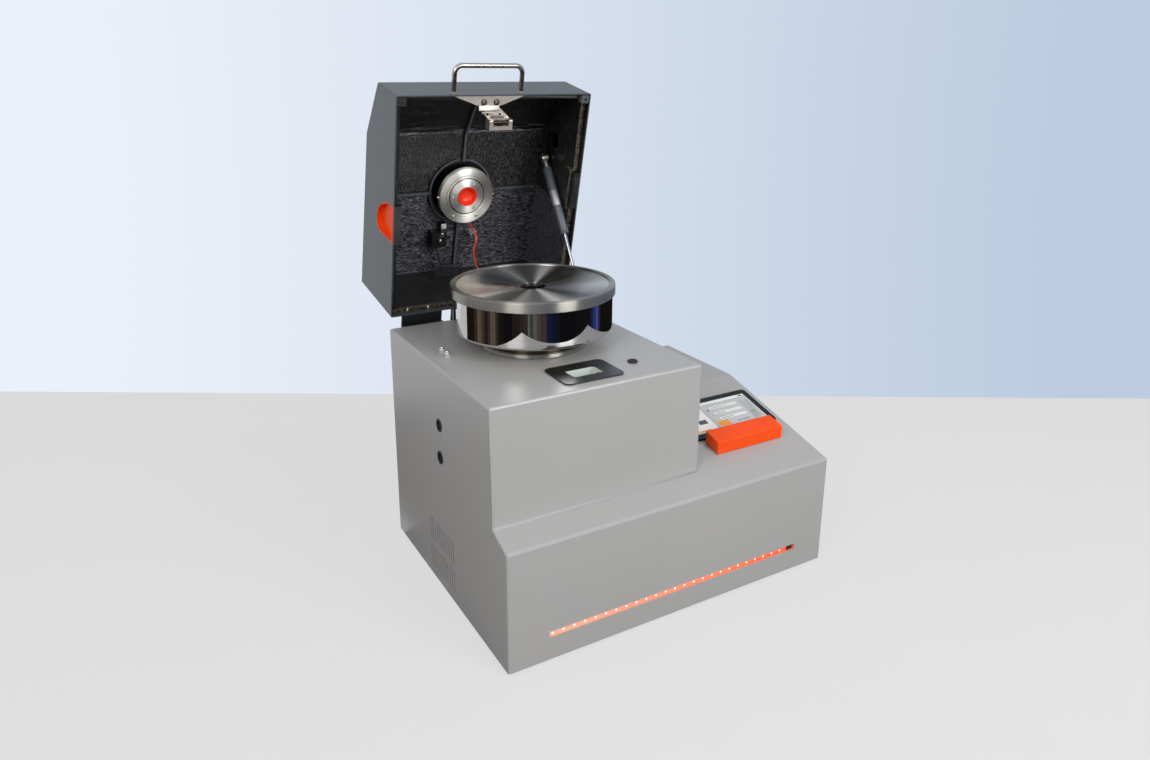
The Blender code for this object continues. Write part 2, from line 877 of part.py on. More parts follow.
def build_switch(root, frame):
    face = base_depth + gap
    half_w, half_h = switch_width / 2, switch_height / 2
    fuse(frame, guide("switch_frame", box_mesh(
        (switch_x - half_w - switch_wall, face - switch_depth, inlet_z - half_h - switch_wall),
        (switch_x + half_w + switch_wall, face + switch_proud, inlet_z + half_h + switch_wall)), root))
    hollow = guide("cut_switch", box_mesh(
        (switch_x - half_w, face - switch_depth + switch_wall, inlet_z - half_h),
        (switch_x + half_w, face + switch_proud + overrun, inlet_z + half_h)), root)
    cut(frame, hollow)
    pin = guide("switch_pin", cylinder_mesh(
        rocker_pin_radius, (switch_x, rocker_axis_y(), inlet_z),
        -half_w - gap, half_w + gap, 0, small_steps // 2), root)
    fuse(frame, pin)
    rocker_empty = make_empty("rocker_axis", (switch_x, rocker_axis_y(), inlet_z), root.empty,
                              (rocker_angle, 0, 0))
    rocker = Carrier(rocker_empty, (0, 0, 0))
    outline = rocker_outline()
    width = half_w - rocker_side_gap
    shown = to_object("switch_rocker", prism_mesh(outline, 0, -width, width), "black_plastic", rocker)
    bore = guide("cut_rocker", cylinder_mesh(
        rocker_pin_radius + gap, (0, 0, 0), -half_w, half_w, 0, small_steps // 2), rocker)
    cut(shown, bore)


def rocker_axis_y():
    return base_depth + switch_proud - rocker_radius / 2


def rocker_outline():
    """Side outline of the rocker round its pin: a round back and a slightly hollow face."""
    reach = switch_height / 2 - rocker_end_gap
    flank = rocker_radius / 2 + rocker_side_gap
    inner = reach - rocker_side_gap
    points = [(flank, reach * math.cos(rocker_angle)), (flank - switch_wall / 2, 0),
              (flank, -reach * math.cos(rocker_angle))]
    points += [(0, -inner * math.cos(rocker_angle)), (-rocker_radius / 4, -inner / 2)]
    points += [(-rocker_radius / 4, inner / 2), (0, inner * math.cos(rocker_angle))]
    return points


def build_air_inlet(root):
    face = base_depth + gap
    profile = [(air_bore, face - base_depth - air_length), (air_radius, face - base_depth - air_length),
               (air_radius, air_length), (air_bore, air_length)]
    body = to_object("air_inlet", turned_mesh(profile, (air_x, base_depth, air_z), 1, small_steps), "zinc", root)
    nut = guide("air_nut", turned_mesh(
        ring_profile((air_bore + air_radius) / 2, air_nut_radius, gap, air_nut_length), (air_x, base_depth, air_z), 1,
        air_nut_sides), root)
    fuse(body, nut)


def build_lamps(root):
    middle = foot_height + slot_z
    half = slot_height / 2
    front = sheet + gap
    channel = to_object("lamp_channel", box_mesh(
        (slot_left - channel_wall, front, middle - half - channel_wall),
        (slot_right + channel_wall, front + channel_depth, middle + half + channel_wall)),
        "white_plastic", root)
    hollow = guide("cut_channel", box_mesh(
        (slot_left, front - overrun, middle - half),
        (slot_right, front + channel_depth - channel_wall, middle + half)), root)
    cut(channel, hollow)
    back = front + channel_depth - channel_wall - gap
    strip_end = lamp_first_x + (lamp_count - 1) * lamp_pitch + strip_end_margin
    strip = to_object("lamp_strip", box_mesh(
        (lamp_first_x - strip_end_margin / 2 - gap, back - strip_thickness, middle - strip_height / 2),
        (min(strip_end, slot_right - gap), back, middle + strip_height / 2)), "lamp", root)
    chips = bmesh.new()
    for index in range(lamp_count):
        x = lamp_first_x + index * lamp_pitch
        add_mesh(chips, box_mesh(
            (x - lamp_size / 2, back - strip_thickness - lamp_thickness, middle - lamp_size / 2),
            (x + lamp_size / 2, back - strip_thickness / 2, middle + lamp_size / 2)))
    fuse(strip, guide("lamp_chips", chips, root))


def build_display(root):
    slope = Carrier(make_empty("console_face", (0, 0, front_top), root.empty, (slope_angle, 0, 0)), (0, 0, 0))
    outline = rounded_outline(display_left, display_right, display_start, display_end, display_corner)
    bezel = to_object("display_bezel", prism_mesh(outline, 2, gap, gap + display_thickness),
                      "black_plastic", slope)
    left, right = display_left + display_border, display_right - display_border
    front, back = display_start + display_border, display_end - display_border
    floor = gap + display_thickness - display_recess
    cut(bezel, guide("cut_display", box_mesh(
        (left, front, floor), (right, back, floor + display_recess + overrun)), slope))
    to_object("display_screen", box_mesh(
        (left + gap, front + gap, floor + gap), (right - gap, back - gap, floor + display_recess)),
        "screen", slope)
    outline = [(rest_front_y, slope_z(rest_front_y) + gap), (rest_back_y, slope_z(rest_back_y) + gap),
               (rest_back_y, slope_z(rest_back_y) + rest_height), (rest_front_y, slope_z(rest_front_y) + rest_height)]
    block = prism_mesh(outline, 0, rest_left, rest_right)
    round_edges(block, rest_bevel)
    to_object("screen_rest", block, "orange_plastic", root)


def build_latch_receiver(root):
    low = housing_top + gap
    half_w, half_d = latch_plate_width / 2, latch_plate_depth / 2
    plate = to_object("latch_plate", prism_mesh(rounded_outline(
        latch_x - half_w, latch_x + half_w, latch_y - half_d, latch_y + half_d, latch_plate_corner),
        2, low, low + latch_plate_thickness), "black_plastic", root)
    half_w, half_d = latch_window_width / 2, latch_window_depth / 2
    window = rounded_outline(latch_x - half_w, latch_x + half_w, latch_y - half_d, latch_y + half_d,
                             latch_window_corner)
    cut(plate, guide("cut_window", prism_mesh(window, 2, low - overrun, low + latch_plate_thickness + overrun), root))
    wall = tray_wall
    tray = to_object("latch_tray", box_mesh(
        (latch_x - half_w - wall, latch_y - half_d - wall, housing_top - tray_depth),
        (latch_x + half_w + wall, latch_y + half_d + wall, housing_top)), "pale_plastic", root)
    hollow = prism_mesh(window, 2, housing_top - tray_depth + wall, housing_top + overrun)
    bolt_z = housing_top - bolt_drop
    slot = box_mesh(
        (latch_x, latch_y - bolt_width / 2 - gap, bolt_z - bolt_height / 2 - gap),
        (latch_x + half_w + wall + overrun, latch_y + bolt_width / 2 + gap, bolt_z + bolt_height / 2 + gap))
    start = latch_x + half_w + wall / 2
    lock = guide("latch_lock", box_mesh(
        (start, latch_y - lock_width / 2, housing_top - sheet - gap - lock_height),
        (start + lock_length, latch_y + lock_width / 2, housing_top - sheet - gap)), root)
    way = box_mesh(
        (start - overrun, latch_y - bolt_width / 2 - gap, bolt_z - bolt_height / 2 - gap),
        (start + bolt_length, latch_y + bolt_width / 2 + gap, bolt_z + bolt_height / 2 + gap))
    fuse(tray, lock)
    cut(tray, guide("cut_tray", hollow, root), guide("cut_bolt_way", slot, root), guide("cut_lock", way, root))
    tip = latch_x + half_w + gap
    bolt_empty = make_empty("bolt_axis", (tip, latch_y, bolt_z), root.empty)
    bolt = Carrier(bolt_empty, (tip, latch_y, bolt_z))
    nose = [(tip, bolt_z - bolt_height / 2), (tip + bolt_length, bolt_z - bolt_height / 2),
            (tip + bolt_length, bolt_z + bolt_height / 2), (tip + bolt_height / 2, bolt_z + bolt_height / 2),
            (tip, bolt_z)]
    to_object("latch_bolt", prism_mesh(nose, 1, latch_y - bolt_width / 2, latch_y + bolt_width / 2),
              "zinc", bolt)


def build_rubber_stop(root):
    low = gap
    profile = [(0, low), (stop_radius, low), (stop_radius, stop_height * 2 / 3),
               (stop_radius * 3 / 4, stop_height), (0, stop_height)]
    to_object("rubber_stop", turned_mesh(profile, (stop_x, stop_y, housing_top), 2, small_steps), "rubber", root)


def build_buffers(root):
    high = table_bottom - gap
    low = high - buffer_height
    profile = [(0, low), (buffer_radius, low), (buffer_waist_radius, (low + high) / 2), (buffer_radius, high),
               (0, high)]
    names = ("front_left", "front_right", "rear_left", "rear_right")
    for name, (x, y) in zip(names, buffer_places()):
        to_object("rubber_buffer_" + name, turned_mesh(profile, (x, y, 0), 2, small_steps), "rubber", root)


def build_vibrating_unit(root):
    home = (unit_x, unit_y, table_top)
    unit = Carrier(make_empty("unit_axis", home, root.empty), home)
    half = table_size / 2
    table = to_object("swing_table", prism_mesh(rounded_outline(
        unit_x - half, unit_x + half, unit_y - half, unit_y + half, table_corner), 2, table_bottom, table_top),
        "cast_grey", unit)
    low = table_top - table_thickness / 2
    groove = seat_top - seat_groove_height
    collar = housing_top + seat_collar_gap
    edge = seat_collar_gap
    profile = [(0, low), (seat_neck_radius, low), (seat_neck_radius, collar),
               (seat_collar_radius, collar), (seat_collar_radius, collar + seat_collar_height - edge),
               (seat_collar_radius - edge, collar + seat_collar_height), (seat_neck_radius, collar + seat_collar_height),
               (seat_neck_radius, groove - seat_groove_height),
               (seat_radius, groove), (seat_radius, seat_top), (seat_lip_radius, seat_top),
               (seat_lip_radius, seat_top + seat_lip_height), (0, seat_top + seat_lip_height)]
    fuse(table, guide("vessel_seat", turned_mesh(profile, (unit_x, unit_y, 0)), unit))
    build_motor(unit)
    build_vessel(unit)


def build_motor(unit):
    top = table_bottom - gap
    bottom = top - motor_length
    profile = [(0, bottom), (motor_radius - motor_rib_depth, bottom), (motor_radius, bottom + motor_rib_width),
               (motor_radius, top - motor_flange_thickness), (motor_flange_radius, top - motor_flange_thickness),
               (motor_flange_radius, top), (0, top)]
    body = to_object("motor_body", turned_mesh(profile, (unit_x, unit_y, 0), 2, middle_steps), "cast_grey", unit)
    grooves = bmesh.new()
    for index in range(motor_rib_count):
        bar = box_mesh((motor_radius - motor_rib_depth, -motor_rib_width / 2, bottom + motor_flange_thickness),
                       (motor_radius + overrun, motor_rib_width / 2, top - motor_flange_thickness * 2))
        bar.transform(Matrix.Rotation(index * 2 * math.pi / motor_rib_count, 4, "Z"))
        bar.transform(Matrix.Translation((unit_x, unit_y, 0)))
        add_mesh(grooves, bar)
    bore = guide("cut_motor_bore", cylinder_mesh(
        shaft_radius + bearing_gap, (unit_x, unit_y, 0), bottom - overrun, bottom + shaft_stub, 2, small_steps), unit)
    cut(body, guide("cut_motor_ribs", grooves, unit), bore)
    home = (unit_x, unit_y, bottom)
    rotor = Carrier(make_empty("rotor_axis", (0, 0, bottom - table_top), unit.empty), home)
    high = bottom - weight_drop
    weight = to_object("shaft_with_weight", cylinder_mesh(
        weight_radius, (unit_x, unit_y, 0), high - weight_thickness, high), "cast_grey", rotor)
    side = box_mesh((unit_x - weight_radius - overrun, unit_y, high - weight_thickness - overrun),
                    (unit_x + weight_radius + overrun, unit_y + weight_radius + overrun, high + overrun))
    low = high - weight_thickness
    hub = guide("weight_hub", turned_mesh([
        (0, bottom - shaft_length), (shaft_radius, bottom - shaft_length), (shaft_radius, low),
        (weight_hub_radius, low), (weight_hub_radius, high), (shaft_radius, high),
        (shaft_radius, bottom + shaft_stub - bearing_gap), (0, bottom + shaft_stub - bearing_gap)],
        (unit_x, unit_y, 0), 2, small_steps), rotor)
    cut(weight, guide("cut_weight", side, rotor))
    fuse(weight, hub)


def build_vessel(unit):
    home = (unit_x, unit_y, bowl_bottom)
    bowl = Carrier(make_empty("bowl_axis", (0, 0, bowl_bottom - table_top), unit.empty), home)
    inner = bowl_radius - bowl_wall
    floor = bowl_bottom + bowl_floor
    recess = seat_lip_radius + seat_lip_height / 2
    deep = bowl_bottom + seat_lip_height + gap
    profile = [(0, deep), (recess, deep), (recess, bowl_bottom), (bowl_radius - bowl_chamfer, bowl_bottom),
               (bowl_radius, bowl_bottom + bowl_chamfer), (bowl_radius, bowl_top), (inner, bowl_top),
               (inner, floor), (0, floor)]
    to_object("vessel_bowl", turned_mesh(profile, (unit_x, unit_y, 0)), "polished_steel", bowl)
    build_grinders(bowl, floor)
    build_lid(bowl, inner)


def build_grinders(bowl, floor):
    low = floor + gap
    ring_home = (unit_x, unit_y, low)
    ring = Carrier(make_empty("ring_axis", (0, 0, low - bowl_bottom), bowl.empty), ring_home)
    high = low + ring_height
    edge = grind_chamfer
    profile = [(ring_inner_radius + edge, low), (ring_outer_radius - edge, low), (ring_outer_radius, low + edge),
               (ring_outer_radius, high - edge), (ring_outer_radius - edge, high),
               (ring_inner_radius + edge, high), (ring_inner_radius, high - edge), (ring_inner_radius, low + edge)]
    to_object("grinding_ring", turned_mesh(profile, (unit_x, unit_y, 0), 2, middle_steps), "brushed_steel", ring)
    puck = Carrier(make_empty("puck_axis", (0, 0, 0), ring.empty), ring_home)
    high = low + puck_height
    profile = [(0, low), (puck_radius - edge, low), (puck_radius, low + edge), (puck_radius, high - edge),
               (puck_radius - edge, high), (0, high)]
    to_object("grinding_puck", turned_mesh(profile, (unit_x, unit_y, 0), 2, middle_steps), "brushed_steel", puck)


def build_lid(bowl, inner):
    home = (unit_x, unit_y, lid_bottom)
    lid = Carrier(make_empty("lid_axis", (0, 0, lid_bottom - bowl_bottom), bowl.empty), home)
    spigot = inner - lid_spigot_clearance
    land = spigot - lid_seal_height
    rim_inner = lid_radius - lid_rim_width
    shelf = lid_top - lid_step
    well = lid_top - lid_dish_depth
    profile = [(0, lid_bottom - lid_spigot_height), (spigot, lid_bottom - lid_spigot_height),
               (spigot, lid_bottom - lid_seal_height - gap), (land - gap, lid_bottom - lid_seal_height - gap),
               (land - gap, lid_bottom), (lid_radius - lid_edge, lid_bottom), (lid_radius, lid_bottom + lid_edge),
               (lid_radius, lid_top - lid_edge), (lid_radius - lid_edge, lid_top), (rim_inner, lid_top),
               (rim_inner - lid_step, shelf), (lid_hole_radius, well),
               (lid_hole_radius - lid_edge, well - lid_hole_depth), (0, well - lid_hole_depth)]
    to_object("vessel_lid", turned_mesh(profile, (unit_x, unit_y, 0)), "brushed_steel", lid)
    ring = ring_profile(land, spigot, lid_bottom - lid_seal_height, lid_bottom - gap)
    to_object("lid_seal", turned_mesh(ring, (unit_x, unit_y, 0)), "rubber", lid)


def hood_points():
    """The hood's closed side outline as (y, z): rim rear, rim front, face top, break and rear top."""
    return [
        (hood_rear_y, rim_z), (hood_front_y, rim_z),
        (hood_front_y + hood_face_lean, rim_z + hood_face_height),
        (hood_break_y, rim_z + hood_break_height),
        (hood_rear_y + hood_rear_lean, rim_z + hood_rear_height),
    ]


def hood_inset_points(depth, rim=0.0):
    """The outline moved inwards by the depth on every wall, and its open side moved by the rim value."""
    return inset_outline(hood_points(), [rim, depth, depth, depth, depth])


def grip_outline(centre, inset, foot):
    """An outline that leans to the rear, with a flat foot and a full round top, as (y, z) points."""
    wide, tall = grip_half_width - inset, grip_height - inset
    points = []
    for step in range(grip_steps + 1):
        angle = step / grip_steps * math.pi
        across = math.copysign(abs(math.cos(angle)) ** grip_round, math.cos(angle))
        rise = abs(math.sin(angle)) ** grip_round
        points.append((centre + wide * across + grip_lean * tall * rise, rim_z + tall * rise))
    points = [point for point in points if point[1] > foot + gap]
    return [(points[0][0], foot), *points, (points[-1][0], foot)]


def hood_block():
    """The closed hood's outer form with its rounded edges."""
    bm = prism_mesh(hood_points(), 0, hood_left, hood_right)
    return round_edges(bm, edge_radius, choose=above_floor(rim_z))


def build_hood_shell(hood):
    shell = to_object("hood_shell", hood_block(), "anthracite", hood)
    inside = prism_mesh(hood_inset_points(sheet, -overrun), 0, hood_left + sheet, hood_right - sheet)
    cut(shell, guide("cut_hood_inside", inside, hood))
    for side, centre in (("left", grip_left_y), ("right", grip_right_y)):
        near, far = grip_span(side, sheet / 2, grip_depth + grip_wall)
        pocket = guide("pocket_" + side, prism_mesh(
            grip_outline(centre, -grip_wall, rim_z), 0, near, far), hood)
        fuse(shell, pocket)
        near, far = grip_span(side, -overrun, grip_depth)
        hollow = guide("cut_grip_" + side, prism_mesh(
            grip_outline(centre, 0, rim_z + grip_wall), 0, near, far), hood)
        cut(shell, hollow)
        build_grip_insert(hood, side, centre)


def grip_span(side, start, end):
    """X range between two depths measured inwards from the side's outer face."""
    if side == "left":
        return hood_left + start, hood_left + end
    return hood_right - end, hood_right - start


def build_grip_insert(hood, side, centre):
    near, far = grip_span(side, 0, grip_depth - gap)
    foot = rim_z + grip_wall + gap
    insert = to_object("grip_" + side, prism_mesh(grip_outline(centre, gap, foot), 0, near, far),
                       "orange_plastic", hood)
    near, far = grip_span(side, -overrun, grip_depth - insert_wall)
    hollow = guide("cut_insert_" + side, prism_mesh(
        grip_outline(centre, gap + insert_wall, foot + insert_wall), 0, near, far), hood)
    cut(insert, hollow)


def build_lining(hood):
    """Foam panels on the walls, one for each wall, with a gap at their mitred ends."""
    near = sheet + gap
    far = near + lining_thickness
    outer = hood_inset_points(near, lining_setback)
    inner = hood_inset_points(far, lining_setback)
    left, right = hood_left + near, hood_right - near
    slots = [rib_slot(hood), cross_rib_slot(hood)]
    hole = guide("cut_lining_ring", cylinder_mesh(
        clamp_ring_radius + gap, (unit_x, unit_y, rim_z), clamp_ring_level - overrun,
        hood_rear_height + overrun, steps=round_steps), hood)
    for name, first in (("front", 1), ("chamfer", 2), ("ceiling", 3), ("rear", 4)):
        second = (first + 1) % len(outer)
        panel = panel_outline(outer[first], outer[second], inner[first], inner[second])
        shown = to_object("lining_" + name, prism_mesh(panel, 0, left, right), "foam", hood)
        if name == "ceiling":
            cut(shown, slots[0], slots[1], hole)
        if name == "chamfer":
            cut(shown, slots[0])
    outline = hood_inset_points(far + gap, lining_setback)
    for side, centre in (("left", grip_left_y), ("right", grip_right_y)):
        start, end = grip_span(side, near, far)
        shown = to_object("lining_" + side, prism_mesh(outline, 0, start, end), "foam", hood)
        start, end = grip_span(side, far - gap, grip_depth + grip_wall + gap + grip_foam)
        bump = guide("lining_bump_" + side, prism_mesh(
            grip_outline(centre, -grip_wall - grip_foam, rim_z + lining_setback), 0, start, end), hood)
        start, end = grip_span(side, 0, grip_depth + grip_wall + gap)
        hollow = guide("cut_bump_" + side, prism_mesh(
            grip_outline(centre, -grip_wall - gap, rim_z), 0, start, end), hood)
        fuse(shown, bump)
        cut(shown, hollow)
        if side == "right":
            cut(shown, guide("cut_lining_foot", box_mesh(
                (hood_right - far - overrun, upper_foot_front_y - gap, rim_z + upper_foot_low - gap),
                (hood_right, upper_foot_back_y + gap, rim_z + upper_foot_high + gap)), hood))


def panel_outline(a, b, c, d):
    """Four corners of a panel between outer edge a-b and inner edge c-d, pulled in by the gap at its ends."""
    a, b, c, d = (Vector(point) for point in (a, b, c, d))
    along = (b - a).normalized() * gap
    return [tuple(a + along), tuple(b - along), tuple(d - along), tuple(c + along)]


def rib_outline(start_depth, end_depth, margin):
    """The long rib's outline: it follows the chamfer and the ceiling between two depths."""
    outer = hood_inset_points(start_depth)
    inner = hood_inset_points(end_depth)
    start = hood_front_y + margin
    end = hood_rear_y - margin
    return [(start, line_height(outer[2], outer[3], start)), outer[3],
            (end, line_height(outer[3], outer[4], end)), (end, line_height(inner[3], inner[4], end)), inner[3],
            (start, line_height(inner[2], inner[3], start))]


def line_height(start, end, y):
    share = (y - start[0]) / (end[0] - start[0])
    return start[1] + share * (end[1] - start[1])


def rib_slot(hood):
    half = rib_thickness / 2 + gap
    outline = rib_outline(0, sheet + lining_thickness * 2, sheet * 2 + lining_thickness + gap)
    return guide("cut_rib_slot", prism_mesh(outline, 0, unit_x - half, unit_x + half), hood)


def cross_rib_slot(hood):
    half = rib_thickness / 2 + gap
    return guide("cut_cross_slot", box_mesh(
        (hood_left + sheet + lining_thickness + gap, unit_y - half, rim_z + clamp_ring_level - overrun),
        (strut_x + gap, unit_y + half, rim_z + hood_rear_height)), hood)


def ceiling_height(y, depth):
    """Height of the ceiling's face at y, at a depth inside the outline."""
    points = hood_inset_points(depth)
    return line_height(points[3], points[4], y)


def lift_top(bm, depth):
    """Moves the top corners of a mesh to the ceiling's sloping face at the depth."""
    top = max(vert.co.z for vert in bm.verts)
    for vert in bm.verts:
        if vert.co.z > top - merge_distance:
            vert.co.z = ceiling_height(vert.co.y, depth)
    return bm


def build_clamp_frame(hood):
    under_sheet = sheet + gap
    lining = under_sheet + lining_thickness + gap
    half = rib_thickness / 2
    ribs = to_object("clamp_ribs", prism_mesh(
        rib_outline(under_sheet, sheet + rib_height, lining + sheet), 0, unit_x - half, unit_x + half),
        "anthracite", hood)
    low = ceiling_height(unit_y, sheet + rib_height)
    cross = lift_top(box_mesh(
        (hood_left + lining, unit_y - half, low), (strut_x, unit_y + half, rim_z + hood_rear_height)),
        under_sheet + gap)
    ring = lift_top(turned_mesh(ring_profile(
        clamp_ring_radius - clamp_ring_wall, clamp_ring_radius, clamp_ring_level, hood_rear_height),
        (unit_x, unit_y, rim_z)), under_sheet + gap * 2)
    core = cylinder_mesh(
        clamp_ring_radius - clamp_ring_wall, (unit_x, unit_y, rim_z), clamp_face_level + overrun,
        hood_rear_height + overrun, steps=round_steps)
    fuse(ribs, guide("cross_rib", cross, hood), guide("clamp_ring", ring, hood))
    cut(ribs, guide("cut_ring_core", core, hood))
    drum_low = clamp_face_level + clamp_flange_thickness + clamp_flange_gap
    drum = lift_top(turned_mesh([
        (clamp_bore_radius, drum_low), (clamp_drum_radius, drum_low), (clamp_drum_radius, hood_rear_height),
        (0, hood_rear_height), (0, drum_low + clamp_stem_length + clamp_travel / 4),
        (clamp_bore_radius, drum_low + clamp_stem_length + clamp_travel / 4)], (unit_x, unit_y, rim_z)), under_sheet)
    to_object("clamp_cylinder", drum, "dark_steel", hood)
    build_clamp_piston(hood)


def build_clamp_piston(hood):
    home = (unit_x, unit_y, rim_z + clamp_face_level)
    place = (unit_x - hood.home.x, unit_y - hood.home.y, rim_z + clamp_face_level - hood.home.z)
    piston = Carrier(make_empty("clamp_axis", place, hood.empty), home)
    face = clamp_face_level
    back = face + clamp_flange_thickness
    seat = face + clamp_disc_recess
    edge = clamp_edge
    disc = clamp_disc_radius
    low = face - clamp_disc_proud
    bore = cup_radius + gap
    profile = [(0, back - clamp_edge), (bore, back - clamp_edge), (bore, low), (disc - edge, low),
               (disc, low + edge), (disc, seat), (disc + clamp_groove, seat), (disc + clamp_groove, face + edge),
               (disc + clamp_groove + edge, face), (clamp_flange_radius - edge, face),
               (clamp_flange_radius, face + edge), (clamp_flange_radius, back), (clamp_stem_radius, back),
               (clamp_stem_radius, back + clamp_stem_length), (0, back + clamp_stem_length)]
    centre = (unit_x, unit_y, rim_z)
    to_object("clamp_flange", turned_mesh(profile, centre), "brushed_steel", piston)
    top = back - clamp_edge - gap
    mouth = cup_radius - cup_wall
    profile = [(cup_radius, low - cup_mouth_chamfer), (cup_radius, top), (0, top), (0, top - cup_floor),
               (cup_floor_radius, top - cup_floor), (mouth, low - cup_mouth_chamfer)]
    to_object("centring_cup", turned_mesh(profile, centre, 2, middle_steps), "orange_plastic", piston)


def build_hood_hardware(hood):
    build_handle(hood)
    build_striker(hood)
    low = housing_top + gap
    inner = sheet + gap
    y = hood_front_y + inner
    for side, x in (("left", hood_left + inner), ("right", hood_right - inner - bumper_size)):
        block = box_mesh((x, y + hood_face_lean, low), (x + bumper_size, y + bumper_size, rim_z + bumper_height))
        round_edges(block, edge_radius / 2, 1)
        to_object("bumper_" + side, block, "rubber", hood)
    cut_front = guide("cut_front_lining", box_mesh(
        (hood_left, hood_front_y, low - overrun),
        (hood_left + inner + bumper_size + gap, hood_front_y + inner + bumper_size + gap,
         rim_z + bumper_height + gap)), hood)
    cut_other = guide("cut_front_lining_right", box_mesh(
        (hood_right - inner - bumper_size - gap, hood_front_y, low - overrun),
        (hood_right, hood_front_y + inner + bumper_size + gap, rim_z + bumper_height + gap)), hood)
    for name in ("lining_front", "lining_left", "lining_right"):
        cut(bpy.data.objects[name], cut_front, cut_other)


def build_handle(hood):
    level = rim_z + handle_rise
    root_y = hood_front_y - gap
    left, right = handle_x - handle_spacing / 2, handle_x + handle_spacing / 2
    far = hood_front_y - handle_reach
    path = [(left, root_y, level)]
    for centre_x, start in ((left + handle_bend, math.pi), (right - handle_bend, 1.5 * math.pi)):
        for step in range(bend_steps + 1):
            angle = start + step / bend_steps * math.pi / 2
            path.append((centre_x + handle_bend * math.cos(angle),
                         far + handle_bend + handle_bend * math.sin(angle), level))
    path.append((right, root_y, level))
    curve = bpy.data.curves.new("hood_handle", "CURVE")
    curve.dimensions = "3D"
    curve.bevel_depth = handle_radius
    curve.bevel_resolution = tube_sides
    curve.use_fill_caps = True
    spline = curve.splines.new("POLY")
    spline.points.add(len(path) - 1)
    for knot, point in zip(spline.points, path):
        knot.co = (*point, 1)
    item = bpy.data.objects.new("hood_handle", curve)
    bpy.context.scene.collection.objects.link(item)
    curve.materials.append(make_material("brushed_steel"))
    item.parent = hood.empty
    item.location = -hood.home


def build_striker(hood):
    low = rim_z + backing_lift
    high = low + backing_thickness
    front = hood_front_y + sheet + gap
    tip = front + backing_reach
    outline = [(handle_x - backing_half_width, front), (handle_x + backing_half_width, front),
               (handle_x + backing_half_tip, tip), (handle_x - backing_half_tip, tip)]
    plate = guide("latch_backing", prism_mesh(outline, 2, low, high), hood)
    for name in ("lining_front",):
        cut(bpy.data.objects[name], guide("cut_backing", box_mesh(
            (handle_x - backing_half_width - gap, hood_front_y, low - overrun),
            (handle_x + backing_half_width + gap, tip + gap, high + backing_thickness + gap)), hood))
    arm_front = front + backing_reach / 2
    striker_y = latch_y - striker_reach
    arm_back = striker_y + gap
    arm_low = high - backing_thickness / 4
    arm_high = arm_low + backing_thickness
    start = handle_x - arm_width / 2
    end = latch_x - striker_width / 2
    step_y = arm_front + arm_reach / 2
    outline = [(start, arm_front), (start + arm_width, arm_front), (start + arm_width, step_y),
               (end + striker_width, arm_back), (end, arm_back), (start + arm_shift, step_y),
               (start, step_y)]
    arm = to_object("latch_striker", prism_mesh(outline, 2, arm_low, arm_high), "zinc", hood)
    bottom = rim_z - striker_drop
    block = guide("striker_block", box_mesh(
        (end, striker_y, bottom), (end + striker_width, striker_y + striker_depth, arm_high)),
        hood)
    hollow = guide("cut_striker", box_mesh(
        (end + striker_wall, striker_y - overrun, bottom - overrun),
        (end + striker_width - striker_wall, striker_y + striker_depth - striker_wall,
         arm_low - striker_floor / 2)), hood)
    fuse(arm, block, plate)
    cut(arm, hollow)


def build_services(hood):
    """Valve block, fittings, cables and the air hose between the clamp and the rear wall."""
    lining = sheet + gap + lining_thickness + gap
    valve = to_object("valve_block", lift_top(box_mesh(
        (valve_x - valve_width / 2, valve_y - valve_depth / 2, rim_z + valve_level),
        (valve_x + valve_width / 2, valve_y + valve_depth / 2, rim_z + hood_rear_height)), lining),
        "black_plastic", hood)
    cap = guide("valve_cap", cylinder_mesh(
        valve_cap_radius, (valve_x, valve_y, rim_z), valve_level - valve_cap_height, valve_level + gap, 2,
        small_steps), hood)
    half = fitting_size / 2
    plug = guide("valve_plug", lift_top(box_mesh(
        (fitting_left_x - half, fitting_left_y - half, rim_z + fitting_level),
        (fitting_left_x + half, valve_y, rim_z + hood_rear_height)), lining + gap), hood)
    fuse(valve, cap, plug)
    to_object("hose_fitting", lift_top(box_mesh(
        (fitting_right_x - half, fitting_right_y - half, rim_z + fitting_level),
        (fitting_right_x + half, fitting_right_y + half, rim_z + hood_rear_height)), lining),
        "white_plastic", hood)
    build_cable_bracket(hood, lining)
    build_cables(hood, lining)


def rear_face(level, depth):
    """Y of the rear wall's inner face at a level above the rim, at a depth inside the outline."""
    points = hood_inset_points(depth)
    low, high = points[0], points[4]
    share = (rim_z + level - low[1]) / (high[1] - low[1])
    return low[0] + share * (high[0] - low[0])


def build_cable_bracket(hood, lining):
    back = rear_face(cable_bracket_level, lining) - gap
    low = rim_z + cable_bracket_level
    thick = cable_bracket_thickness
    outline = [(back, low), (back, low + cable_bracket_lip), (back - thick, low + cable_bracket_lip),
               (back - thick, low + thick), (back - cable_bracket_reach, low + thick),
               (back - cable_bracket_reach, low)]
    to_object("cable_bracket", prism_mesh(outline, 0, cable_bracket_left, cable_bracket_right),
              "black_plastic", hood)


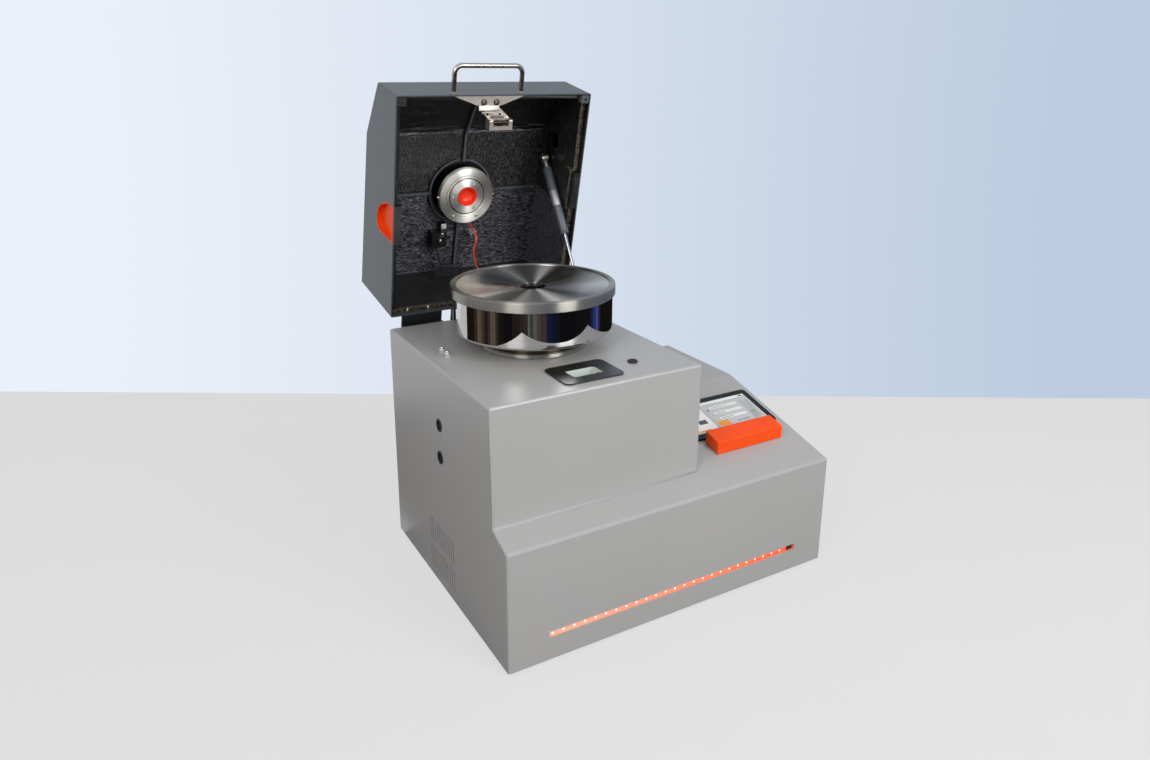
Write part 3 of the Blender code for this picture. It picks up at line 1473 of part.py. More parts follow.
def build_cables(hood, lining):
    level = rim_z + fitting_level + fitting_size / 2
    valve_back = valve_y + valve_depth / 2 + gap
    deck = rim_z + cable_bracket_level + cable_bracket_thickness + cable_radius + gap * 4
    end = rear_face(cable_bracket_level, lining) - cable_bracket_reach / 2
    wave = cable_radius * 3
    points = [(valve_x, valve_back, level), (valve_x, valve_back + wave, level),
              (valve_x + wave / 2, (valve_back + end) / 2, (level + deck) / 2),
              (valve_x + wave, end - wave, deck), (valve_x + wave * 2, end, deck)]
    tube_object("valve_cable", points, cable_radius, "black_cable", hood, 4)
    ring = clamp_ring_radius + gap
    start_y = unit_y + ring
    back = rear_face(clamp_ring_level, lining) - gap
    hose_x = fitting_right_x - fitting_size
    points = [(hose_x, start_y, rim_z + clamp_ring_level), (hose_x, start_y + wave, rim_z + clamp_ring_level),
              (hose_x + wave / 2, start_y + wave * 4, rim_z + clamp_face_level),
              (hose_x - wave / 4, (start_y + back) / 2 + wave, rim_z + clamp_face_level),
              (hose_x + wave, back - wave * 2, rim_z + clamp_face_level),
              (hose_x + wave * 2, back - wave, rim_z + clamp_face_level)]
    hose_end = Vector(points[-1])
    end_back = rear_face(clamp_face_level, lining) - gap
    points.append((hose_end.x, end_back, hose_end.z))
    tube_object("air_hose", points, hose_radius, "red_hose", hood, 4)


def hinge_spans(left):
    """Three knuckles across the hinge: outer, middle and outer."""
    inner_left = left + hinge_knuckle
    inner_right = left + hinge_width - hinge_knuckle
    return ((left, inner_left - gap), (inner_left, inner_right), (inner_right + gap, left + hinge_width))


def web_outline():
    """Side outline of the leaf that runs from the pin over the tower's edge and up the hood's rear wall."""
    low = housing_top + hinge_web_lift
    high = low + hinge_plate
    back = hinge_y + hinge_barrel_radius
    wall = [Vector(point) for point in inset_outline(hood_points(), [0, -gap, -gap, -gap, -gap])]
    rear_low, rear_high = wall[0], wall[4]

    def wall_y(z):
        return rear_low.x + (z - rear_low.y) / (rear_high.y - rear_low.y) * (rear_high.x - rear_low.x)

    top = low + hinge_leaf_rise
    return [(hinge_y, hinge_z), (back, hinge_z), (back, high), (wall_y(high) + hinge_plate, high),
            (wall_y(top) + hinge_plate, top), (wall_y(top), top), (wall_y(low), low), (hinge_y, low)]


def build_hinges(root, hood):
    """Each lower leaf holds the pin in its outer knuckles, and the upper leaf turns on it."""
    radius = hinge_barrel_radius
    face = base_depth + gap
    for side, left in (("left", hinge_left_x), ("right", hinge_right_x)):
        spans = hinge_spans(left)
        start, end = spans[1]
        leaf = to_object("hinge_lower_" + side, box_mesh(
            (left, face, hinge_z - hinge_leaf_drop), (left + hinge_width, face + hinge_plate, hinge_z)),
            "black_plastic", root)
        notch = guide("cut_notch_" + side, box_mesh(
            (start - gap, face - overrun, hinge_z - radius - gap), (end + gap, hinge_y, hinge_z + overrun)), root)
        cut(leaf, notch)
        for index in (0, 2):
            low, high = spans[index]
            fuse(leaf, guide("knuckle_" + side + str(index), cylinder_mesh(
                radius, (low, hinge_y, hinge_z), 0, high - low, 0, small_steps), root))
        fuse(leaf, guide("hinge_pin_" + side, cylinder_mesh(
            hinge_pin_radius, (left, hinge_y, hinge_z), -gap, hinge_width + gap, 0, small_steps), root))
        turning = to_object("hinge_upper_" + side, prism_mesh(web_outline(), 0, start, end), "black_plastic", hood)
        fuse(turning, guide("middle_knuckle_" + side, cylinder_mesh(
            radius, (start, hinge_y, hinge_z), 0, end - start, 0, small_steps), hood))
        fuse(turning, guide("leaf_web_" + side, prism_mesh(
            web_top_outline(), 0, left, left + hinge_width), hood))
        cut(turning, guide("cut_bore_" + side, cylinder_mesh(
            hinge_pin_radius + hinge_play, (left, hinge_y, hinge_z), 0, hinge_width, 0, small_steps), hood))
    to_object("cable_bridge", prism_mesh(web_top_outline(), 0, bridge_left_x, bridge_right_x), "rubber", hood)


def web_top_outline():
    """The web and wall part of the leaf, without the part that turns down to the pin."""
    points = web_outline()
    return points[2:7] + [(points[1][0], points[7][1])]


def strut_vector():
    """From the lower pivot to the upper pivot with the hood open, as (y, z)."""
    closed = Vector((strut_upper_y - hinge_y, rim_z + strut_upper_rise - hinge_z))
    cosine, sine = math.cos(-open_angle), math.sin(-open_angle)
    upper = Vector((hinge_y + cosine * closed.x - sine * closed.y, hinge_z + sine * closed.x + cosine * closed.y))
    lower = Vector((strut_lower_y, housing_top + strut_lower_rise))
    return upper - lower


def build_strut(root, hood):
    reach = strut_vector()
    length = reach.length
    turn = -math.atan2(reach.x, reach.y)
    place = (strut_x, strut_upper_y - hinge_y, rim_z + strut_upper_rise - hinge_z)
    cylinder = Carrier(make_empty("strut_axis", place, hood.empty, (turn + open_angle, 0, 0)), (0, 0, 0))
    inner = strut_radius - strut_wall
    guide_top = -strut_end + strut_guide
    hole = strut_rod_radius + strut_rod_play
    profile = [(0, -strut_top - strut_guide), (0, -eye_radius / 2), (strut_neck_radius, -eye_radius / 2),
               (strut_neck_radius, -strut_top), (strut_radius, -strut_top), (strut_radius, -strut_end),
               (hole, -strut_end), (hole, guide_top), (inner, guide_top), (inner, -strut_top - strut_guide)]
    body = to_object("strut_cylinder", turned_mesh(profile, (0, 0, 0), 2, small_steps), "anthracite", cylinder)
    half = eye_width / 2
    fuse(body, guide("cylinder_eye", cylinder_mesh(
        eye_radius, (0, 0, 0), -half, half, 0, small_steps), cylinder))
    cut(body, guide("cut_eye", cylinder_mesh(
        eye_pin_radius + eye_pin_play, (0, 0, 0), -half - overrun, half + overrun, 0, small_steps), cylinder))
    build_rod(cylinder, length, guide_top)
    build_strut_brackets(root, hood)


def build_rod(cylinder, length, guide_top):
    rod = Carrier(make_empty("rod_axis", (0, 0, -length), cylinder.empty), (0, 0, 0))
    piston_low = length + guide_top + gap
    radius = strut_rod_radius
    profile = [(0, eye_radius / 2), (strut_neck_radius, eye_radius / 2),
               (strut_neck_radius, eye_radius + radius), (radius, eye_radius + radius), (radius, piston_low),
               (strut_piston_radius, piston_low), (strut_piston_radius, piston_low + strut_piston_length),
               (0, piston_low + strut_piston_length)]
    shown = to_object("strut_rod", turned_mesh(profile, (0, 0, 0), 2, small_steps), "polished_steel", rod)
    half = eye_width / 2
    fuse(shown, guide("rod_eye", cylinder_mesh(eye_radius, (0, 0, 0), -half, half, 0, small_steps), rod))
    fuse(shown, guide("rod_stud", cylinder_mesh(
        eye_pin_radius, (0, 0, 0), 0, half + strut_plate_gap - gap, 0, small_steps), rod))


def build_strut_brackets(root, hood):
    plate_start = strut_x + eye_width / 2 + strut_plate_gap
    plate_end = plate_start + strut_plate
    wall = hood_right - sheet - gap
    low, high = rim_z + upper_foot_low, rim_z + upper_foot_high
    pin_z = rim_z + strut_upper_rise
    leg = [(upper_foot_front_y, high), (upper_foot_front_y, pin_z), (strut_upper_y, pin_z - nut_radius * 1.5),
           (upper_leg_back_y, pin_z), (upper_leg_back_y, pin_z + nut_radius), (upper_foot_back_y, high)]
    bracket = to_object("strut_bracket_upper", prism_mesh(leg, 0, plate_start, plate_end), "anthracite", hood)
    arm = guide("bracket_arm", box_mesh(
        (plate_start, upper_foot_front_y, high - strut_plate), (wall, upper_foot_back_y, high)), hood)
    foot = guide("bracket_foot", box_mesh(
        (wall - strut_plate, upper_foot_front_y, low), (wall, upper_foot_back_y, high)), hood)
    head_end = strut_x - eye_width / 2 - gap
    pin = guide("bracket_pin", cylinder_mesh(
        eye_pin_radius, (0, strut_upper_y, pin_z), head_end - gap, plate_end, 0, small_steps), hood)
    head = guide("bracket_pin_head", cylinder_mesh(
        eye_head_radius, (0, strut_upper_y, pin_z), head_end - eye_head_length, head_end, 0, small_steps), hood)
    nut = guide("bracket_nut", cylinder_mesh(
        nut_radius, (0, strut_upper_y, pin_z), plate_end - gap, plate_end + nut_length, 0, air_nut_sides), hood)
    fuse(bracket, arm, foot, pin, head, nut)
    top = housing_top + gap
    pivot = housing_top + strut_lower_rise
    y = strut_lower_y
    outline = [(y - lower_foot_half, top), (y + lower_foot_half, top), (y + nut_radius * 1.5, pivot + nut_radius),
               (y, pivot + nut_radius * 1.5), (y - nut_radius * 1.5, pivot + nut_radius)]
    lower = to_object("strut_bracket_lower", prism_mesh(outline, 0, plate_start, plate_end), "anthracite", root)
    foot = guide("lower_foot", box_mesh(
        (plate_start, y - lower_foot_half, top),
        (hood_right - sheet - hood_gap, y + lower_foot_half, top + strut_plate)), root)
    nut = guide("lower_nut", cylinder_mesh(
        nut_radius, (0, y, pivot), plate_end - gap, plate_end + nut_length, 0, air_nut_sides), root)
    fuse(lower, foot, nut)


def rear_reach():
    """How far back the open hood reaches, with its edges rounded."""
    bm = hood_block()
    cosine, sine = math.cos(-open_angle), math.sin(-open_angle)
    reach = max(cosine * (vert.co.y - hinge_y) - sine * (vert.co.z - hinge_z) for vert in bm.verts)
    bm.free()
    return hinge_y + reach


def build():
    clear_scene()
    place = (-(base_width - plug_proud) / 2, -rear_reach() / 2, 0)
    root = Carrier(make_empty("machine", place), (0, 0, 0))
    build_housing(root)
    build_base(root)
    build_plugs(root)
    build_rear(root)
    build_lamps(root)
    build_display(root)
    build_latch_receiver(root)
    build_rubber_stop(root)
    build_buffers(root)
    build_vibrating_unit(root)
    home = (0, hinge_y, hinge_z)
    hood = Carrier(make_empty("hood_axis", home, root.empty, (-open_angle, 0, 0)), home)
    build_hood_shell(hood)
    build_lining(hood)
    build_clamp_frame(hood)
    build_hood_hardware(hood)
    build_services(hood)
    build_hinges(root, hood)
    build_strut(root, hood)


build()
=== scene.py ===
"""Laboratory mill with its hood open: surfaces, small parts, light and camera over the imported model.

It is laid out as a Blender add-on and run as a script. All lengths are in metres. Places on the
machine are given from the lower front left corner of its housing, and places on the hood are
given for the closed hood and then turned open.
"""

import json
import math

import bmesh
import bpy
from bpy.props import FloatProperty, IntProperty, PointerProperty, StringProperty
from mathutils import Matrix, Vector, noise


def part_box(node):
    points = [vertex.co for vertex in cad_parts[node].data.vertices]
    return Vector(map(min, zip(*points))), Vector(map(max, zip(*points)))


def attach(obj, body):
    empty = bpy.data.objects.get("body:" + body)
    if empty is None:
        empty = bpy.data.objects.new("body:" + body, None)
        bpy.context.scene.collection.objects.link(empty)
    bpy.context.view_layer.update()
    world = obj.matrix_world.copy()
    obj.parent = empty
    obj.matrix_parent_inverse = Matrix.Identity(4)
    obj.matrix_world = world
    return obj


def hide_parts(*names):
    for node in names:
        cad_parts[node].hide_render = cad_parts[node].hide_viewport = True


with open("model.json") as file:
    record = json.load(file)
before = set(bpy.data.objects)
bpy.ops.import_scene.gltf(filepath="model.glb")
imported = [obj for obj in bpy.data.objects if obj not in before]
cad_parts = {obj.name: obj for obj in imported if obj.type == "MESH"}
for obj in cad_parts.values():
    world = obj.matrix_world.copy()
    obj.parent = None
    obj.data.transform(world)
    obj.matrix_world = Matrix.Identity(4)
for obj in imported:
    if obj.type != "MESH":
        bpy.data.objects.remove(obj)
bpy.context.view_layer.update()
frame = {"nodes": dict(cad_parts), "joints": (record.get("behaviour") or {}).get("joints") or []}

bl_info = {
    "name": "Laboratory mill",
    "version": (1, 0, 0),
    "blender": (4, 5, 0),
    "location": "3D View > Sidebar > Mill",
    "description": "Dresses the packed model of a bench-top disc mill and sets its stage",
    "category": "Object",
}

mm = 0.001
nodes = frame["nodes"]
joints = {joint["name"]: joint for joint in frame["joints"]}
housing_low, housing_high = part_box("housing_shell")

# The places that everything is measured from
machine = Matrix.Translation((housing_low.x, housing_low.y, 0))
hinge_place = Vector(joints["hood_hinge"]["pos_m"])
open_angle = math.radians(-joints["hood_hinge"]["range_deg"][0])
hinge_y, hinge_z = 424 * mm, 352 * mm
hood = (Matrix.Translation(hinge_place) @ Matrix.Rotation(-open_angle, 4, "X")
        @ Matrix.Translation((0, -hinge_y, -hinge_z)))

# Sizes shared with the model
base_width, base_depth = 550 * mm, 420 * mm
front_top, tower_top = 177 * mm, 356 * mm
tower_width, tower_front = 330 * mm, 44 * mm
slope = math.atan2(63, 235)
console = machine @ Matrix.Translation((0, 0, front_top)) @ Matrix.Rotation(slope, 4, "X")
rim = 357 * mm
hood_left, hood_right = 4.5 * mm, 325.5 * mm
hood_front, hood_rear = 50 * mm, 404.5 * mm
unit_x, unit_y = 168 * mm, 249 * mm
seat_top = 380.5 * mm
bowl_low, bowl_high = 380.8 * mm, 435.3 * mm
bowl_radius, bowl_inner = 119 * mm, 101 * mm
lid_low, lid_high = 435.6 * mm, 450.6 * mm
clamp_face = rim + 101 * mm
strut_x = 299.5 * mm
unit_space = machine @ Matrix.Translation((unit_x, unit_y, 0))
clamp_space = hood @ Matrix.Translation((unit_x, unit_y, clamp_face))
camera_place = machine @ Vector((-396.84 * mm, -842.78 * mm, 760.51 * mm))
view_yaw, view_pitch, view_roll = (math.radians(angle) for angle in (30.293, 15.398, 0.35))
fine_steps = 144
small_steps = 32


# ---------------------------------------------------------------- sizes and colours to change

class MillSizes(bpy.types.PropertyGroup):
    """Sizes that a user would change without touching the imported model."""

    emboss_depth: FloatProperty(
        name="Foam emboss depth", description="How deep the creases in the foam's foil are",
        default=1.1 * mm, unit="LENGTH")
    emboss_cell: FloatProperty(
        name="Foam mesh cell", description="Edge length of the mesh that carries the foam's creases",
        default=3.2 * mm, unit="LENGTH")
    screw_head: FloatProperty(
        name="Screw head radius", description="Radius of the button-head screws on the rear panel",
        default=3.8 * mm, unit="LENGTH")
    lamp_count: IntProperty(name="Lamps", description="Lamps behind the slot in the front", default=26)
    lamp_glow: FloatProperty(
        name="Lamp glow", description="Strength of the light that the lamps give", default=2.6)
    floor_size: FloatProperty(
        name="Floor size", description="Width of the plain floor", default=16.0, unit="LENGTH")
    floor_reach: FloatProperty(
        name="Floor reach", description="How far from the camera's foot the floor goes on behind the mill",
        default=1.905, unit="LENGTH")


class MillColours(bpy.types.PropertyGroup):
    """Colours as sRGB hex values."""

    housing: StringProperty(name="Housing paint", description="Light grey of the housing", default="#A6A5A4")
    hood: StringProperty(name="Hood paint", description="Anthracite of the hood", default="#474B4D")
    signal: StringProperty(name="Signal orange", description="Orange of grips, rest and cup", default="#F24B00")
    foam: StringProperty(name="Foam foil", description="Near-black foil on the foam", default="#161617")
    hose: StringProperty(name="Air hose", description="Red of the air hose", default="#C24B42")
    lamps: StringProperty(name="Lamp light", description="Orange light behind the slot", default="#F4693F")
    floor: StringProperty(name="Floor", description="Plain pale floor", default="#9E9E9E")
    backdrop: StringProperty(name="Backdrop, left", description="Pale surroundings", default="#ECF1F9")
    backdrop_right: StringProperty(
        name="Backdrop, right", description="Pale surroundings, a little bluer", default="#BCCBE0")


# ---------------------------------------------------------------- colours, nodes and materials

def linear(text):
    """An sRGB hex value as linear red, green, blue and alpha."""
    parts = [int(text[place:place + 2], 16) / 255 for place in (1, 3, 5)]
    return tuple(c / 12.92 if c <= 0.04045 else ((c + 0.055) / 1.055) ** 2.4 for c in parts) + (1.0,)


def add_node(tree, kind, settings=None, links=None):
    """Adds a node. Settings go to its sockets by name or to its own values; links feed its sockets."""
    node = tree.nodes.new(kind)
    for name, value in (settings or {}).items():
        if name in node.inputs:
            node.inputs[name].default_value = value
        else:
            setattr(node, name, value)
    for name, source in (links or {}).items():
        tree.links.new(source, node.inputs[name])
    return node


def start_material(name, colour, roughness, metallic=0.0, **sockets):
    """A Principled material whose constant values sit on the shader's own sockets."""
    material = bpy.data.materials.new(name)
    material.use_nodes = True
    tree = material.node_tree
    shader = tree.nodes["Principled BSDF"]
    shader.inputs["Base Color"].default_value = linear(colour)
    shader.inputs["Roughness"].default_value = roughness
    shader.inputs["Metallic"].default_value = metallic
    for key, value in sockets.items():
        shader.inputs[key.replace("_", " ").title().replace("Ior", "IOR")].default_value = value
    material.diffuse_color = linear(colour)
    return material, tree, shader


def grain(tree, size, detail=2.0, stretch=(1, 1, 1), turn=(0, 0, 0)):
    """Noise whose features are about the given size, stretched along an axis."""
    coordinates = add_node(tree, "ShaderNodeTexCoord")
    placed = add_node(tree, "ShaderNodeMapping", {"Scale": stretch, "Rotation": turn},
                      {"Vector": coordinates.outputs["Object"]})
    return add_node(tree, "ShaderNodeTexNoise", {"Scale": 0.5 / size, "Detail": detail},
                    {"Vector": placed.outputs["Vector"]})


def rings(tree, size):
    """Noise that depends only on the distance from the piece's own axis, as turned marks do."""
    coordinates = add_node(tree, "ShaderNodeTexCoord")
    flat = add_node(tree, "ShaderNodeVectorMath", {"operation": "MULTIPLY"}, {0: coordinates.outputs["Object"]})
    flat.inputs[1].default_value = (1, 1, 0)
    reach = add_node(tree, "ShaderNodeVectorMath", {"operation": "LENGTH"}, {0: flat.outputs["Vector"]})
    return add_node(tree, "ShaderNodeTexNoise", {"noise_dimensions": "1D", "Scale": 0.5 / size, "Detail": 3.0},
                    {"W": reach.outputs["Value"]})


def relief(tree, shader, pattern, depth):
    bump = add_node(tree, "ShaderNodeBump", {"Strength": 1.0, "Distance": depth}, {"Height": pattern.outputs[0]})
    tree.links.new(bump.outputs["Normal"], shader.inputs["Normal"])
    return bump


def spread(tree, pattern, low, high, target):
    """Maps a pattern to a range and feeds it to a socket."""
    ranged = add_node(tree, "ShaderNodeMapRange", {"From Min": 0.3, "From Max": 0.7, "To Min": low, "To Max": high},
                      {"Value": pattern.outputs[0]})
    tree.links.new(ranged.outputs["Result"], target)


def tint(tree, shader, pattern, first, second):
    """Drifts the base colour between two hex values."""
    mixed = add_node(tree, "ShaderNodeMix", {"data_type": "RGBA"}, {"Factor": pattern.outputs[0]})
    colours = [socket for socket in mixed.inputs if socket.type == "RGBA"]
    colours[0].default_value, colours[1].default_value = linear(first), linear(second)
    result = next(socket for socket in mixed.outputs if socket.type == "RGBA")
    tree.links.new(result, shader.inputs["Base Color"])


def shade(text, factor):
    """A hex value made lighter or darker."""
    return "#" + "".join(f"{min(255, round(int(text[place:place + 2], 16) * factor)):02X}" for place in (1, 3, 5))


def powder_coat(name, colour, peel, roughness):
    """Powder coat: an orange-peel skin with a soft sheen, even in colour."""
    material, tree, shader = start_material(name, colour, roughness, specular_ior_level=0.5)
    skin = grain(tree, peel, 1.0)
    relief(tree, shader, skin, 0.02 * mm)
    clouds = grain(tree, 60 * mm, 2.0)
    tint(tree, shader, clouds, shade(colour, 0.985), shade(colour, 1.015))
    spread(tree, skin, roughness - 0.02, roughness + 0.02, shader.inputs["Roughness"])
    return material


def embossed_foil(name, colour, size, stretch, depth, roughness, crest):
    """PU foam with an embossed black foil: creases with sharp small glints; the crests are painted paler as painted
    glints, and the troughs darker as painted shade.
    """
    material, tree, shader = start_material(name, colour, roughness, specular_ior_level=0.8)
    creases = grain(tree, size, 3.0, stretch)
    relief(tree, shader, creases, depth)
    spread(tree, creases, roughness - 0.06, roughness + 0.12, shader.inputs["Roughness"])
    # Painted glints on the crests and painted shade in the troughs.
    painted_glints = add_node(tree, "ShaderNodeMapRange", {"From Min": 0.51, "From Max": 0.64}, {"Value": creases.outputs[0]})
    tint(tree, shader, painted_glints, shade(colour, 0.8), crest)
    return material


def cut_foam():
    """Cut edge of PU foam: brown-grey open pores, quite matt. Real pores are 0.3 mm, drawn at 1 mm."""
    material, tree, shader = start_material("cut_foam_edge", "#463E33", 0.95, specular_ior_level=0.2)
    pores = grain(tree, 1.8 * mm, 4.0)
    relief(tree, shader, pores, 0.8 * mm)
    spots = add_node(tree, "ShaderNodeMapRange", {"From Min": 0.36, "From Max": 0.66}, {"Value": pores.outputs[0]})
    tint(tree, shader, spots, "#12100E", "#6A6153")
    return material


def moulded(name, colour, roughness, texture=0.4 * mm, depth=0.015 * mm, **sockets):
    """Moulded plastic or rubber: a fine eroded texture from the mould and a slightly uneven tone."""
    material, tree, shader = start_material(name, colour, roughness, **sockets)
    skin = grain(tree, texture, 2.0)
    relief(tree, shader, skin, depth)
    spread(tree, skin, max(0.05, roughness - 0.06), roughness + 0.06, shader.inputs["Roughness"])
    tint(tree, shader, grain(tree, 25 * mm), shade(colour, 0.94), shade(colour, 1.04))
    return material


def worked_metal(name, colour, roughness, mark, stretch, depth=0.004 * mm, anisotropic=0.0, spread_by=0.08):
    """Metal with marks from its working: ground, brushed, drawn, blasted or plated."""
    material, tree, shader = start_material(name, colour, roughness, 1.0)
    shader.inputs["Anisotropic"].default_value = anisotropic
    marks = grain(tree, mark, 3.0, stretch)
    relief(tree, shader, marks, depth)
    spread(tree, marks, max(0.015, roughness - spread_by), roughness + spread_by, shader.inputs["Roughness"])
    tint(tree, shader, marks, shade(colour, 0.93), shade(colour, 1.04))
    return material


def fans(tree, stops):
    """A value that depends only on the direction from the piece's own axis: (degrees, share) in rising order. It paints
    fans of highlight and shade into a base colour.
    """
    coordinates = add_node(tree, "ShaderNodeTexCoord")
    sweep = add_node(tree, "ShaderNodeTexGradient", {"gradient_type": "RADIAL"},
                     {"Vector": coordinates.outputs["Object"]})
    ramp = add_node(tree, "ShaderNodeValToRGB", None, {"Fac": sweep.outputs["Fac"]})
    ramp.color_ramp.interpolation = "EASE"
    for index, (degrees, share) in enumerate(stops):
        place = degrees / 360 + 0.5
        stop = ramp.color_ramp.elements[index] if index < 2 else ramp.color_ramp.elements.new(place)
        stop.position = place
        stop.color = (share, share, share, 1)
    return ramp


def turned_metal(name, colour, roughness, mark, anisotropic, depth=0.006 * mm, fan=None):
    """Turned on a lathe: rings round the piece's own axis, which spread a highlight across them into a fan. Where fan
    stops are given, fans of highlight and shade are also painted into the base colour.
    """
    material, tree, shader = start_material(name, colour, roughness, 1.0)
    shader.inputs["Anisotropic"].default_value = anisotropic
    shader.inputs["Anisotropic Rotation"].default_value = 0.25
    tangent = add_node(tree, "ShaderNodeTangent", {"direction_type": "RADIAL", "axis": "Z"})
    tree.links.new(tangent.outputs["Tangent"], shader.inputs["Tangent"])
    marks = rings(tree, mark)
    relief(tree, shader, marks, depth)
    spread(tree, marks, roughness - 0.03, roughness + 0.03, shader.inputs["Roughness"])
    if fan:
        # Painted highlights: the fans lighten and darken the base colour by direction.
        tint(tree, shader, fans(tree, fan[1]), fan[0], colour)
    else:
        tint(tree, shader, marks, shade(colour, 0.92), shade(colour, 1.04))
    return material


def lit(name, colour, strength, roughness=0.4):
    """A lit plastic cover or a lamp: it shines in its own colour, a little unevenly."""
    material, tree, shader = start_material(name, colour, roughness)
    shader.inputs["Emission Color"].default_value = linear(colour)
    uneven = grain(tree, 14 * mm, 1.0)
    spread(tree, uneven, strength * 0.8, strength * 1.15, shader.inputs["Emission Strength"])
    return material


def lit_along(name, left, right, strength):
    """A lit cover whose light goes from one colour at the machine's left to another at its right."""
    material, tree, shader = start_material(name, left, 0.4)
    coordinates = add_node(tree, "ShaderNodeTexCoord")
    place = add_node(tree, "ShaderNodeSeparateXYZ", None, {"Vector": coordinates.outputs["Object"]})
    share = add_node(tree, "ShaderNodeMapRange", {"From Min": machine.translation.x + 60 * mm,
                                                  "From Max": machine.translation.x + 470 * mm},
                     {"Value": place.outputs["X"]})
    tint(tree, shader, share, left, right)
    tree.links.new(shader.inputs["Base Color"].links[0].from_socket, shader.inputs["Emission Color"])
    shader.inputs["Emission Strength"].default_value = strength
    return material


finishes = {}


